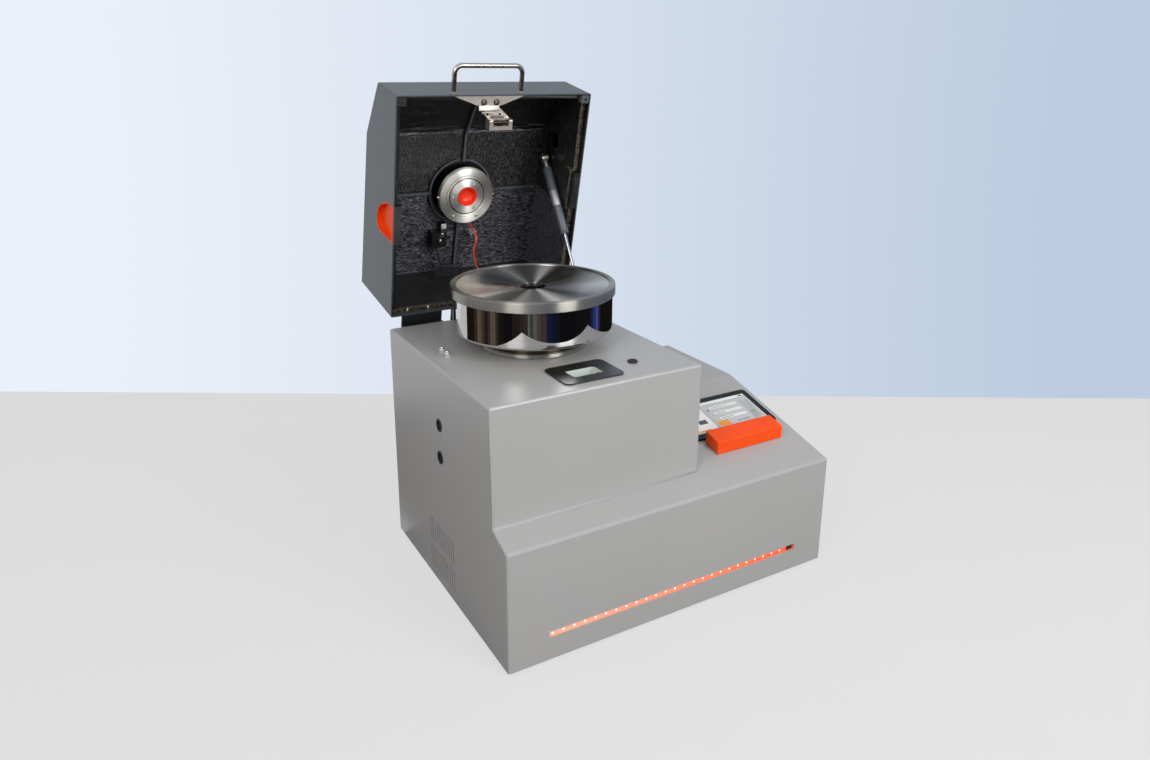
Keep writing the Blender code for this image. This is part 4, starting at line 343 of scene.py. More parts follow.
def make_finishes(colours):
    """Every finish on the machine, named for what it really is."""
    table = {
        # Steel sheet with satin powder coat: real peel is 1 mm, drawn at 1.6 mm to show.
        "powder_coat_light_grey": powder_coat("powder_coat_light_grey", colours.housing, 1.6 * mm, 0.33),
        # The hood's coat is darker and a little finer.
        "powder_coat_anthracite": powder_coat("powder_coat_anthracite", colours.hood, 1.3 * mm, 0.42),
        # Blue-black coat on the bars that carry the clamp.
        "powder_coat_blue_black": powder_coat("powder_coat_blue_black", "#2C333A", 1.3 * mm, 0.38),
        # The same coat on the bars' edges, drawn paler: a painted highlight where the edges face the light.
        "powder_coat_painted_lit_edge": powder_coat("powder_coat_painted_lit_edge", "#4A5157", 1.3 * mm, 0.4),
        # Foil with creases that run across the hood: real ones are 1 mm wide and 10 mm long.
        "embossed_foil_across": embossed_foil(
            "embossed_foil_across", colours.foam, 0.62 * mm, (0.17, 1, 1), 1.2 * mm, 0.28, "#7D7C87"),
        # The same foil where it is stretched: fine lines down the panel.
        "embossed_foil_along": embossed_foil(
            "embossed_foil_along", colours.foam, 0.9 * mm, (1, 1, 0.11), 1.0 * mm, 0.3, "#504E52"),
        # Foil that lies smooth: only broad, shallow waves, on a base darkened as a painted shade.
        "smooth_foil_on_foam": embossed_foil(
            "smooth_foil_on_foam", shade(colours.foam, 0.8), 7 * mm, (1, 1, 1), 0.5 * mm, 0.42, "#19181A"),
        # Beside the fold the same foil is drawn into long crinkles, on a base darkened as a painted shade.
        "crinkled_foil": embossed_foil(
            "crinkled_foil", shade(colours.foam, 0.8), 1.5 * mm, (0.09, 1, 1), 1.8 * mm, 0.28, "#66656A"),
        # Where the foil is folded over the foam's edge it is crinkled; it shines with its gloss and with painted glints
        # on a paler painted base.
        "folded_foil": embossed_foil("folded_foil", "#2A2A2C", 1.6 * mm, (0.5, 1, 1), 1.2 * mm, 0.3, "#A9A8A8"),
        "cut_foam_edge": cut_foam(),
        # ABS from a fine mould: bright, with a soft gloss.
        "moulded_abs_orange": moulded("moulded_abs_orange", colours.signal, 0.46, specular_ior_level=0.3),
        # The cup is of a redder polyurethane with a wet gloss.
        "cast_pu_red": moulded("cast_pu_red", "#EE3510", 0.4, 1 * mm, 0.01 * mm, specular_ior_level=0.5),
        # Glass-filled nylon: black and satin.
        "moulded_nylon_black": moulded("moulded_nylon_black", "#242426", 0.45),
        # Painted case of the latch receiver: black, a bit glossier, so that it catches the light.
        "moulded_abs_black": moulded("moulded_abs_black", "#1B1B1B", 0.27),
        "moulded_polyamide_pale": moulded("moulded_polyamide_pale", "#BFC8C0", 0.4, specular_ior_level=0.5),
        "moulded_polyamide_white": moulded("moulded_polyamide_white", "#D4D3CF", 0.45),
        # Natural rubber: matt black with a grey bloom.
        "moulded_rubber_black": moulded("moulded_rubber_black", "#202022", 0.72, 0.6 * mm, 0.02 * mm),
        # The right bumper's copy is drawn grey: a painted light on the same black rubber.
        "moulded_rubber_painted_lit": moulded("moulded_rubber_painted_lit", "#4A5054", 0.55, 0.6 * mm, 0.02 * mm),
        # PVC jacket of cables: black, a little shiny.
        "extruded_pvc_black": moulded("extruded_pvc_black", "#1C1C1E", 0.4, 0.8 * mm, 0.01 * mm),
        # Polyurethane hose: salmon red and slightly clear.
        "extruded_pu_red": moulded("extruded_pu_red", colours.hose, 0.3, 1 * mm, 0.005 * mm,
                                   coat_weight=0.4),
        # Stainless steel polished to a mirror: only faint lines round the bowl.
        "mirror_polished_stainless": worked_metal(
            "mirror_polished_stainless", "#CFCDCA", 0.025, 1.5 * mm, (0.02, 0.02, 1.0), 0.0004 * mm, 0.0, 0.01),
        # The seat's neck under the bowl: the same steel drawn darker and browner, a painted shade and painted
        # reflection from under the bowl.
        "stainless_painted_shade": worked_metal(
            "stainless_painted_shade", "#7A6D55", 0.14, 1.5 * mm, (0.02, 0.02, 1.0), 0.0006 * mm, 0.0, 0.03),
        # Stainless steel faced on a lathe: real feed marks are 0.1 mm, drawn at 1.2 mm. Its gloss is sharp along
        # the marks and wide across them.
        "turned_stainless": turned_metal("turned_stainless", "#B5AFA7", 0.34, 1.2 * mm, 1.0, 0.0012 * mm),
        # The lid's face: its base colour holds painted highlights and painted reflections in fans, some brighter than
        # others.
        "turned_stainless_painted_fans": turned_metal(
            "turned_stainless_painted_fans", "#F2EDE4", 0.34, 1.2 * mm, 1.0, 0.0012 * mm, ("#3A3733", (
                (-180, 0.75), (-173, 0.6), (-162, 1.0), (-152, 0.4), (-136, 0.12), (-126, 0.3), (-112, 0.28),
                (-102, 0.8), (-93, 0.35), (-74, 0.1), (-55, 0.35), (-25, 0.62), (0, 0.5), (20, 0.25), (38, 0.06),
                (51, 0.55), (64, 0.16), (80, 0.14), (98, 0.4), (118, 0.25), (140, 0.7), (158, 1.0), (180, 0.75)))),
        # The lid's rim and the seat's collar: the same with a broader tool, its colour drawn darker than the ring's
        # steel as a painted shade.
        "turned_stainless_rim": turned_metal("turned_stainless_rim", "#9F9A92", 0.4, 1.0 * mm, 1.0, 0.003 * mm),
        # Face of the clamp's flange: turned and softer than the lid, its colour drawn paler than the other turned steel
        # as a painted light.
        "turned_steel_pale": turned_metal(
            "turned_steel_pale", "#F6F0E6", 0.46, 0.9 * mm, 0.9, 0.006 * mm),
        # The well in the lid and what is in its shadow.
        "turned_steel_dark": worked_metal("turned_steel_dark", "#2B2825", 0.35, 0.8 * mm, (1, 1, 1), 0.003 * mm),
        # Burnished steel: dark brown-black oxide with a low gloss.
        "burnished_steel": worked_metal("burnished_steel", "#3B3631", 0.38, 1.2 * mm, (0.3, 1, 1), 0.004 * mm, 0.2),
        # Drawn and polished stainless bar: lengthwise lines.
        "drawn_stainless": worked_metal("drawn_stainless", "#B5ABA0", 0.2, 0.5 * mm, (1, 1, 0.08), 0.002 * mm, 0.2),
        "chromed_steel": worked_metal("chromed_steel", "#C6C6C8", 0.1, 2 * mm, (1, 1, 0.1), 0.0005 * mm),
        # Zinc plating, yellowish white with light handling marks.
        "zinc_plated_steel": worked_metal("zinc_plated_steel", "#CFC6B6", 0.32, 2.2 * mm, (1, 1, 1), 0.006 * mm),
        # The striker's plates are blasted before plating, so they are duller.
        "blasted_zinc_plate": worked_metal("blasted_zinc_plate", "#DAD1C4", 0.5, 1.6 * mm, (1, 1, 1), 0.02 * mm),
        "dull_zinc_screw": worked_metal("dull_zinc_screw", "#8C877F", 0.5, 1 * mm, (1, 1, 1), 0.01 * mm),
        "nickel_plated_brass": worked_metal("nickel_plated_brass", "#C8C2B4", 0.2, 1 * mm, (1, 1, 1), 0.002 * mm),
        # Hinges and brackets: black oxide on rolled steel.
        "black_oxide_steel": moulded("black_oxide_steel", "#1E1F21", 0.42, 0.7 * mm, 0.02 * mm),
        # Grey primer on sand-cast iron: coarse and matt, real sand grain 0.5 mm, drawn at 1.2 mm.
        "primed_cast_iron": moulded("primed_cast_iron", "#5A5E60", 0.68, 1.2 * mm, 0.12 * mm),
        # Dark painted tube of the gas spring.
        "painted_tube_grey": moulded("painted_tube_grey", "#4B5158", 0.34, 0.7 * mm, 0.01 * mm),
        # Blank foil label: silver, a little crinkled.
        "silver_foil_label": worked_metal("silver_foil_label", "#A7A8A9", 0.55, 3 * mm, (1, 1, 1), 0.02 * mm),
        "black_glass": moulded("black_glass", "#0B0B0C", 0.3, 3 * mm, 0.001 * mm, specular_ior_level=0.25),
        # The screen's picture: dull white light behind a matt front.
        "screen_grey": lit("screen_grey", "#A9A9A9", 0.22, 0.25),
        "screen_white": lit("screen_white", "#D2D2D0", 0.25, 0.25),
        "screen_pale": lit("screen_pale", "#B2B4B5", 0.18, 0.25),
        "screen_orange": lit("screen_orange", "#D9862C", 0.3, 0.25),
        "screen_dark": lit("screen_dark", "#4A4648", 0.1, 0.25),
        "screen_green": lit("screen_green", "#79915F", 0.2, 0.25),
        "lamp_cover_orange": lit_along("lamp_cover_orange", "#E3AD98", colours.lamps, 0.3),
        "lamp_dot": lit("lamp_dot", "#FFD2BA", 1.0),
        "lamp_dark": moulded("lamp_dark", "#5A1E12", 0.5),
    }
    finishes.update(table)


# ---------------------------------------------------------------- mesh helpers

def add_piece(name, bm, materials, body, space=machine, angle=35, own_axis=False):
    """Turns a bmesh, given in a space, into a piece that rides on a body and takes the given finishes.

    A piece with its own axis keeps its Z, which a turned finish goes round."""
    bmesh.ops.recalc_face_normals(bm, faces=bm.faces)
    mesh = bpy.data.meshes.new(name)
    bm.to_mesh(mesh)
    bm.free()
    if not own_axis:
        mesh.transform(space)
    if isinstance(materials, str):
        materials = [materials]
    for material in materials:
        mesh.materials.append(finishes[material])
    smooth(mesh, angle)
    piece = bpy.data.objects.new(name, mesh)
    bpy.context.scene.collection.objects.link(piece)
    if own_axis:
        piece.matrix_world = space
    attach(piece, body)
    return piece


def smooth(mesh, angle=35):
    mesh.polygons.foreach_set("use_smooth", [True] * len(mesh.polygons))
    mesh.set_sharp_from_angle(angle=math.radians(angle))


def dress(node, *materials, bevel=0.0, pick=None, angle=35):
    """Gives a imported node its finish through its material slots, soft edges, and a second finish on chosen faces."""
    item = nodes[node]
    item.data.materials.clear()
    for material in materials:
        item.data.materials.append(finishes[material])
    item.data.polygons.foreach_set("material_index", [0] * len(item.data.polygons))
    if pick:
        back = machine.inverted()
        for face in item.data.polygons:
            face.material_index = pick(back @ face.center, face.normal)
    smooth(item.data, angle)
    if bevel:
        rounding = item.modifiers.new("Rounded edges", "BEVEL")
        rounding.width = bevel
        rounding.segments = 2
        rounding.limit_method = "ANGLE"
        rounding.angle_limit = math.radians(40)
        rounding.harden_normals = True
    return item


def merge(target, source):
    """Adds one bmesh to another."""
    mesh = bpy.data.meshes.new("part")
    source.to_mesh(mesh)
    source.free()
    target.from_mesh(mesh)
    bpy.data.meshes.remove(mesh)
    return target


def tag(bm, index):
    for face in bm.faces:
        face.material_index = index
    return bm


def block(low, high, bevel=0.0, segments=2):
    bm = bmesh.new()
    size = [b - a for a, b in zip(low, high)]
    middle = [(a + b) / 2 for a, b in zip(low, high)]
    bmesh.ops.create_cube(bm, size=1, matrix=Matrix.Translation(middle) @ Matrix.Diagonal((*size, 1)))
    if bevel:
        bmesh.ops.bevel(bm, geom=bm.edges[:], offset=bevel, segments=segments, profile=0.5, affect="EDGES")
    return bm


def prism(points, axis, start, end, bevel=0.0):
    """Extrudes an outline along X (0), Y (1) or Z (2)."""
    bm = bmesh.new()
    corners = []
    for first, second in points:
        corner = [first, second]
        corner.insert(axis, start)
        corners.append(bm.verts.new(corner))
    face = bm.faces.new(corners)
    made = bmesh.ops.extrude_face_region(bm, geom=[face])
    move = [0, 0, 0]
    move[axis] = end - start
    bmesh.ops.translate(bm, verts=[v for v in made["geom"] if isinstance(v, bmesh.types.BMVert)], vec=move)
    if bevel:
        bmesh.ops.bevel(bm, geom=bm.edges[:], offset=bevel, segments=2, profile=0.5, affect="EDGES")
    return bm


def turn(profile, centre=(0, 0, 0), axis=2, steps=fine_steps, closed=False):
    """Turns (radius, height) points round an axis through a centre. The ends on the axis close the form."""
    bm = bmesh.new()
    loops = []
    for radius, height in profile:
        count = 1 if radius == 0 else steps
        loop = []
        for step in range(count):
            angle = 2 * math.pi * step / steps
            loop.append(bm.verts.new((radius * math.cos(angle), radius * math.sin(angle), height)))
        loops.append(loop)
    pairs = list(zip(loops, loops[1:]))
    if closed:
        pairs.append((loops[-1], loops[0]))
    for low, high in pairs:
        for step in range(steps):
            following = (step + 1) % steps
            corners = []
            for vert in (low[step % len(low)], low[following % len(low)],
                         high[following % len(high)], high[step % len(high)]):
                if vert not in corners:
                    corners.append(vert)
            if len(corners) > 2:
                bm.faces.new(corners)
    rotation = {0: Matrix.Rotation(math.pi / 2, 4, "Y"), 1: Matrix.Rotation(-math.pi / 2, 4, "X"),
                2: Matrix.Identity(4)}[axis]
    bm.transform(Matrix.Translation(centre) @ rotation)
    return bm


def tube(points, radius, sides=16, caps=True):
    """A round tube along points, with frames that don't twist."""
    bm = bmesh.new()
    points = [Vector(point) for point in points]
    loops = []
    side = None
    for index, point in enumerate(points):
        ahead = points[min(index + 1, len(points) - 1)] - points[max(index - 1, 0)]
        ahead.normalize()
        if side is None:
            side = ahead.orthogonal().normalized()
        side = (side - ahead * side.dot(ahead)).normalized()
        up = ahead.cross(side)
        loops.append([bm.verts.new(point + (side * math.cos(2 * math.pi * step / sides)
                                            + up * math.sin(2 * math.pi * step / sides)) * radius)
                      for step in range(sides)])
    for low, high in zip(loops, loops[1:]):
        for step in range(sides):
            following = (step + 1) % sides
            bm.faces.new((low[step], low[following], high[following], high[step]))
    if caps:
        bm.faces.new(loops[0][::-1])
        bm.faces.new(loops[-1])
    return bm


def curve_through(points, steps=6):
    """A smooth path through points."""
    points = [Vector(point) for point in points]
    result = []
    for index in range(len(points) - 1):
        before = points[max(index - 1, 0)]
        start, end = points[index], points[index + 1]
        after = points[min(index + 2, len(points) - 1)]
        for step in range(steps):
            t = step / steps
            result.append(0.5 * ((2 * start) + (end - before) * t
                                 + (2 * before - 5 * start + 4 * end - after) * t * t
                                 + (3 * start - before - 3 * end + after) * t ** 3))
    result.append(points[-1])
    return result


def arc(centre, radius, start, end, steps):
    """Points on an arc, as pairs; angles in degrees."""
    return [(centre[0] + radius * math.cos(math.radians(start + (end - start) * step / steps)),
             centre[1] + radius * math.sin(math.radians(start + (end - start) * step / steps)))
            for step in range(steps + 1)]


def button_screw(radius, height, socket, sides=6):
    """A button-head screw standing on the XY plane, with a hexagon socket."""
    dome = [(0, height * 0.35), (socket, height * 0.35), (socket, height)]
    for angle in (75, 50, 25, 0):
        dome.append((socket + (radius - socket) * math.cos(math.radians(angle)),
                     height * math.sin(math.radians(angle)) * 0.9 + height * 0.05))
    dome += [(radius, 0), (0, 0)]
    bm = turn(dome, steps=24)
    for vert in bm.verts:
        reach = math.hypot(vert.co.x, vert.co.y)
        if 0 < reach < socket * 1.05:
            angle = math.atan2(vert.co.y, vert.co.x)
            wedge = math.pi / sides
            hexagon = math.cos(wedge) / math.cos((angle % (2 * wedge)) - wedge)
            vert.co.x *= hexagon
            vert.co.y *= hexagon
    return bm


def hexagon_nut(radius, height, bore):
    """A nut with chamfered corners standing on the XY plane."""
    bm = bmesh.new()
    outline = [(radius * math.cos(math.pi / 3 * k), radius * math.sin(math.pi / 3 * k)) for k in range(6)]
    merge(bm, prism(outline, 2, 0, height, radius * 0.09))
    merge(bm, turn([(0, height), (bore, height), (bore * 0.95, height * 1.35), (0, height * 1.35)], steps=20))
    return bm


def placed(bm, location, axis="Z", turn_by=0.0):
    """Stands a small part, made on the XY plane, at a place with its own Z along an axis."""
    facing = {"Z": Matrix.Identity(4), "-Z": Matrix.Rotation(math.pi, 4, "X"),
              "X": Matrix.Rotation(math.pi / 2, 4, "Y"), "-X": Matrix.Rotation(-math.pi / 2, 4, "Y"),
              "Y": Matrix.Rotation(-math.pi / 2, 4, "X"), "-Y": Matrix.Rotation(math.pi / 2, 4, "X")}[axis]
    bm.transform(Matrix.Translation(location) @ facing @ Matrix.Rotation(turn_by, 4, "Z"))
    return bm


def gather(parts):
    """One bmesh from several."""
    whole = bmesh.new()
    for part in parts:
        merge(whole, part)
    return whole


class MillOperator:
    """What all of the mill's operators share."""

    bl_options = {"REGISTER", "UNDO"}

    @classmethod
    def poll(cls, context):
        return context.scene is not None


# ---------------------------------------------------------------- stage

class MILL_OT_stage(MillOperator, bpy.types.Operator):
    """Makes the floor, the soft lights, the surroundings and the camera"""

    bl_idname = "mill.stage"
    bl_label = "Stage and camera"

    def execute(self, context):
        sizes, colours = context.scene.mill_sizes, context.scene.mill_colours
        make_finishes(colours)
        self.floor(sizes, colours)
        self.painted_reflection_floor()
        self.surroundings(context, colours)
        self.lights()
        self.camera(context)
        return {"FINISHED"}

    def floor(self, sizes, colours):
        """A plain matt table top with a faint mottle, which takes the shadow and ends behind the mill."""
        half = sizes.floor_size / 2
        bm = block((-half, -half, -0.02), (half, sizes.floor_reach, 0))
        bm.transform(Matrix.Translation((camera_place.x, camera_place.y, 0)) @ Matrix.Rotation(-view_yaw, 4, "Z"))
        mesh = bpy.data.meshes.new("floor")
        bm.to_mesh(mesh)
        bm.free()
        material, tree, shader = start_material("matt_floor_paint", colours.floor, 0.85, specular_ior_level=0.1)
        tint(tree, shader, grain(tree, 40 * mm), shade(colours.floor, 0.99), shade(colours.floor, 1.01))
        even = add_node(tree, "ShaderNodeEmission", {"Color": linear("#FFFFFF"), "Strength": 1.0})
        share = add_node(tree, "ShaderNodeMath", {"operation": "MULTIPLY"}, {0: self.seen(tree)})
        share.inputs[1].default_value = 0.62
        both = add_node(tree, "ShaderNodeMixShader", None,
                        {0: share.outputs[0], 1: shader.outputs[0], 2: even.outputs[0]})
        tree.links.new(both.outputs[0], tree.nodes["Material Output"].inputs["Surface"])
        mesh.materials.append(material)
        floor = bpy.data.objects.new("floor", mesh)
        bpy.context.scene.collection.objects.link(floor)

    def seen(self, tree):
        """1 for rays from the camera, from gloss and through glass."""
        path = add_node(tree, "ShaderNodeLightPath")
        direct = add_node(tree, "ShaderNodeMath", {"operation": "MAXIMUM"},
                          {0: path.outputs["Is Camera Ray"], 1: path.outputs["Is Glossy Ray"]})
        every = add_node(tree, "ShaderNodeMath", {"operation": "MAXIMUM"},
                         {0: direct.outputs[0], 1: path.outputs["Is Transmission Ray"]})
        return every.outputs[0]

    def painted_reflection_floor(self):
        """Bands of colour in front of the set, which only shiny surfaces see: a painted reflection of a dark room."""
        # Where each band starts and ends, in degrees to the right of the way from the vessel to the camera
        bands = ((-104, -88, "#1C1917"), (-88, -82, "#3A322C"), (-82, -76, "#6A5A4B"), (-76, -73, "#58493E"),
                 (-73, -69, "#463833"), (-69, -64, "#2A201D"), (-64, -60, "#403830"), (-60, -52, "#645C4C"),
                 (-52, -48, "#3A342C"), (-48, -40, "#1E1C1C"), (-40, -28, "#161516"), (-28, -18, "#2A2223"),
                 (-18, -12, "#342B2C"), (-12, -7, "#3A3333"), (-7, -4, "#686A68"), (-4, 0, "#454645"),
                 (0, 5, "#646361"), (5, 10, "#56484A"), (10, 18, "#473C3E"), (18, 22, "#1B2443"),
                 (22, 27, "#15203E"), (27, 36, "#181B26"), (36, 60, "#131316"), (60, 86, "#17171B"),
                 (86, 91, "#1C2858"), (91, 97, "#2A3D84"), (97, 103, "#55558C"), (103, 108, "#2A2A42"),
                 (108, 178, "#171514"))
        centre = machine @ Vector((unit_x, unit_y, 0))
        zero = math.degrees(math.atan2(camera_place.y - centre.y, camera_place.x - centre.x))
        bm = bmesh.new()
        mesh = bpy.data.meshes.new("painted_reflection_floor")
        for index, (start, end, colour) in enumerate(bands):
            material, tree, shader = start_material("painted_reflection_band", "#000000", 0.9, specular_ior_level=0.0)
            shader.inputs["Emission Color"].default_value = linear(colour)
            shader.inputs["Emission Strength"].default_value = 1.0
            mesh.materials.append(material)
            near = arc((0, 0), 0.12, zero + start, zero + end, 4)
            far = arc((0, 0), 3.2, zero + start, zero + end, 4)
            face = bm.faces.new([bm.verts.new((x, y, 4 * mm)) for x, y in near + far[::-1]])
            face.material_index = index
        # A darker strip, seen only in gloss, which paints a darker lower half onto the mill's left side: a painted
        # reflection of the table.
        wall = housing_low.x - centre.x
        face = bm.faces.new([bm.verts.new((wall + x, y, 5 * mm)) for x, y in (
            (-0.02, -0.7), (-0.02, 0.7), (-0.30, 0.7), (-0.30, -0.7))])
        face.material_index = 1
        bm.to_mesh(mesh)
        bm.free()
        cloth = bpy.data.objects.new("painted_reflection_floor", mesh)
        cloth.location = centre
        # Only gloss sees the bands, so they glow as painted reflections.
        for ray in ("camera", "diffuse", "transmission", "volume_scatter", "shadow"):
            setattr(cloth, "visible_" + ray, False)
        bpy.context.scene.collection.objects.link(cloth)

    def surroundings(self, context, colours):
        world = bpy.data.worlds.new("surroundings")
        world.use_nodes = True
        tree = world.node_tree
        tree.nodes.clear()
        light = add_node(tree, "ShaderNodeBackground", {"Color": (1, 1, 1, 1), "Strength": 0.5})
        coordinates = add_node(tree, "ShaderNodeTexCoord")
        sideways = add_node(tree, "ShaderNodeVectorMath", {"operation": "DOT_PRODUCT"},
                            {0: coordinates.outputs["Generated"]})
        sideways.inputs[1].default_value = (math.cos(view_yaw), -math.sin(view_yaw), 0)
        share = add_node(tree, "ShaderNodeMapRange", {"From Min": -0.5, "From Max": 0.5},
                         {"Value": sideways.outputs["Value"]})
        mixed = add_node(tree, "ShaderNodeMix", {"data_type": "RGBA"}, {"Factor": share.outputs["Result"]})
        ends = [socket for socket in mixed.inputs if socket.type == "RGBA"]
        ends[0].default_value, ends[1].default_value = linear(colours.backdrop), linear(colours.backdrop_right)
        pale = next(socket for socket in mixed.outputs if socket.type == "RGBA")
        view = add_node(tree, "ShaderNodeBackground", {"Strength": 1.0}, {"Color": pale})
        both = add_node(tree, "ShaderNodeMixShader", None,
                        {0: self.seen(tree), 1: light.outputs[0], 2: view.outputs[0]})
        add_node(tree, "ShaderNodeOutputWorld", None, {"Surface": both.outputs[0]})
        context.scene.world = world

    def lights(self):
        """Two soft boxes, to the left and to the right of the camera, and a weak top light."""
        lamps = (
            ("left_light", (-1.40, -1.05, 1.25), (0.7, 0.9), 12.0),
            ("right_light", (0.50, -1.75, 1.12), (0.8, 0.9), 22.0),
            ("top_light", (-0.75, -0.75, 1.8), (0.9, 0.9), 1.5),
        )
        for name, place, size, power in lamps:
            data = bpy.data.lights.new(name, "AREA")
            data.shape = "RECTANGLE"
            data.size, data.size_y = size
            data.energy = power
            lamp = bpy.data.objects.new(name, data)
            lamp.location = place
            aim = Vector((0, 0, 0.3)) - Vector(place)
            lamp.rotation_euler = aim.to_track_quat("-Z", "Y").to_euler()
            bpy.context.scene.collection.objects.link(lamp)

    def camera(self, context):
        """The photograph's view: a wide lens from the left, a little above the hood."""
        forward = Vector((math.sin(view_yaw) * math.cos(view_pitch), math.cos(view_yaw) * math.cos(view_pitch),
                          -math.sin(view_pitch)))
        level = Vector((math.cos(view_yaw), -math.sin(view_yaw), 0))
        upright = level.cross(forward)
        right = level * math.cos(view_roll) + upright * math.sin(view_roll)
        up = upright * math.cos(view_roll) - level * math.sin(view_roll)
        data = bpy.data.cameras.new("camera")
        data.sensor_width = 36.0
        data.lens = 851.6 / 1150 * 36.0
        data.shift_y = -80 / 1150
        data.clip_start, data.clip_end = 0.05, 60
        camera = bpy.data.objects.new("camera", data)
        camera.matrix_world = Matrix.Translation(camera_place) @ Matrix(
            ((right.x, up.x, -forward.x), (right.y, up.y, -forward.y), (right.z, up.z, -forward.z))).to_4x4()
        bpy.context.scene.collection.objects.link(camera)
        context.scene.camera = camera


# ---------------------------------------------------------------- housing

def stud_face(place, normal):
    """The tops of the two welded studs on the tower are bare."""
    near = min(math.hypot(place.x - 29 * mm, place.y - y) for y in (249 * mm, 269 * mm))
    return 1 if near < 4.6 * mm and place.z > tower_top + 5.3 * mm else 0


class MILL_OT_housing(MillOperator, bpy.types.Operator):
    """Paints the housing and makes its plugs, feet, screws and studs"""

    bl_idname = "mill.housing"
    bl_label = "Housing"

    def execute(self, context):
        sizes = context.scene.mill_sizes
        dress("housing_shell", "powder_coat_light_grey", "zinc_plated_steel", pick=stud_face)
        dress("rear_panel", "powder_coat_light_grey", bevel=0.4 * mm)
        dress("base_plate", "zinc_plated_steel", "moulded_rubber_black",
              pick=lambda place, normal: 1 if place.z < 4.9 * mm else 0)
        for name in ("side_plug_lower", "side_plug_upper"):
            dress(name, "moulded_nylon_black", bevel=0.2 * mm)
        self.studs()
        self.rear_screws(sizes)
        self.stop_ring()
        return {"FINISHED"}

    def studs(self):
        """Round-headed screws that stand in the welded studs."""
        parts = []
        for y in (249 * mm, 269 * mm):
            parts.append(placed(turn([(0, 9.8 * mm), (1.3 * mm, 9.6 * mm), (2.3 * mm, 9.0 * mm), (2.8 * mm, 8.1 * mm),
                                      (2.8 * mm, 7.4 * mm), (2.4 * mm, 6.95 * mm), (0, 6.95 * mm)],
                                     steps=small_steps), (29 * mm, y, tower_top)))
        add_piece("stud_screws", gather(parts), "chromed_steel", "root")

    def rear_screws(self, sizes):
        parts = []
        left, width, low, height = 22 * mm, 286 * mm, 60 * mm, 220 * mm
        for x in (left + 7 * mm, left + width / 2, left + width - 7 * mm):
            for z in (low + 7 * mm, low + height / 2, low + height - 7 * mm):
                if abs(x - left - width / 2) > mm or abs(z - low - height / 2) > mm:
                    parts.append(placed(button_screw(sizes.screw_head, 2.2 * mm, 1.4 * mm),
                                        (x, base_depth + 1.75 * mm, z), "Y"))
        add_piece("rear_panel_screws", gather(parts), "zinc_plated_steel", "root")

    def stop_ring(self):
        """A soft stop with a dished top."""
        profile = [(0, 1.7 * mm), (3.2 * mm, 1.7 * mm), (4.2 * mm, 2.3 * mm), (5.4 * mm, 3.0 * mm),
                   (6.5 * mm, 2.8 * mm), (7.2 * mm, 2.0 * mm), (7.4 * mm, 0.05 * mm), (0, 0.05 * mm)]
        piece = add_piece("stop_pad", turn(profile, (249 * mm, 100 * mm, tower_top), steps=48),
                          "moulded_rubber_black", "root")
        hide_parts("rubber_stop")


# ---------------------------------------------------------------- lamps

class MILL_OT_lamps(MillOperator, bpy.types.Operator):
    """Makes the row of lamps and the lit channel behind the slot"""

    bl_idname = "mill.lamps"
    bl_label = "Lamp strip"

    def execute(self, context):
        sizes = context.scene.mill_sizes
        dress("lamp_channel", "lamp_cover_orange")
        middle = 41.5 * mm
        back = 5.2 * mm
        strip = block((62 * mm, back - 1.3 * mm, middle - 4.1 * mm), (490 * mm, back, middle + 4.1 * mm), 0.3 * mm)
        piece = add_piece("lamp_board", strip, "lamp_cover_orange", "root")
        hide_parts("lamp_strip")
        dots = []
        for index in range(sizes.lamp_count - 1):
            x = 66.5 * mm + index * 16.67 * mm
            dots.append(placed(turn([(0, 0.7 * mm), (0.9 * mm, 0.6 * mm), (1.5 * mm, 0.3 * mm), (1.7 * mm, 0),
                                     (0, 0)], steps=20), (x, back - 1.35 * mm, middle - 1.6 * mm), "-Y"))
        add_piece("lamp_dots", gather(dots), "lamp_dot", "root")
        x = 66.5 * mm + (sizes.lamp_count - 1) * 16.67 * mm
        dark = block((x - 3.5 * mm, back - 2.6 * mm, middle - 4.3 * mm),
                     (x + 7.5 * mm, back - 1.35 * mm, middle + 4.3 * mm), 0.3 * mm)
        add_piece("lamp_board_end", dark, "lamp_dark", "root")
        return {"FINISHED"}


# ---------------------------------------------------------------- display

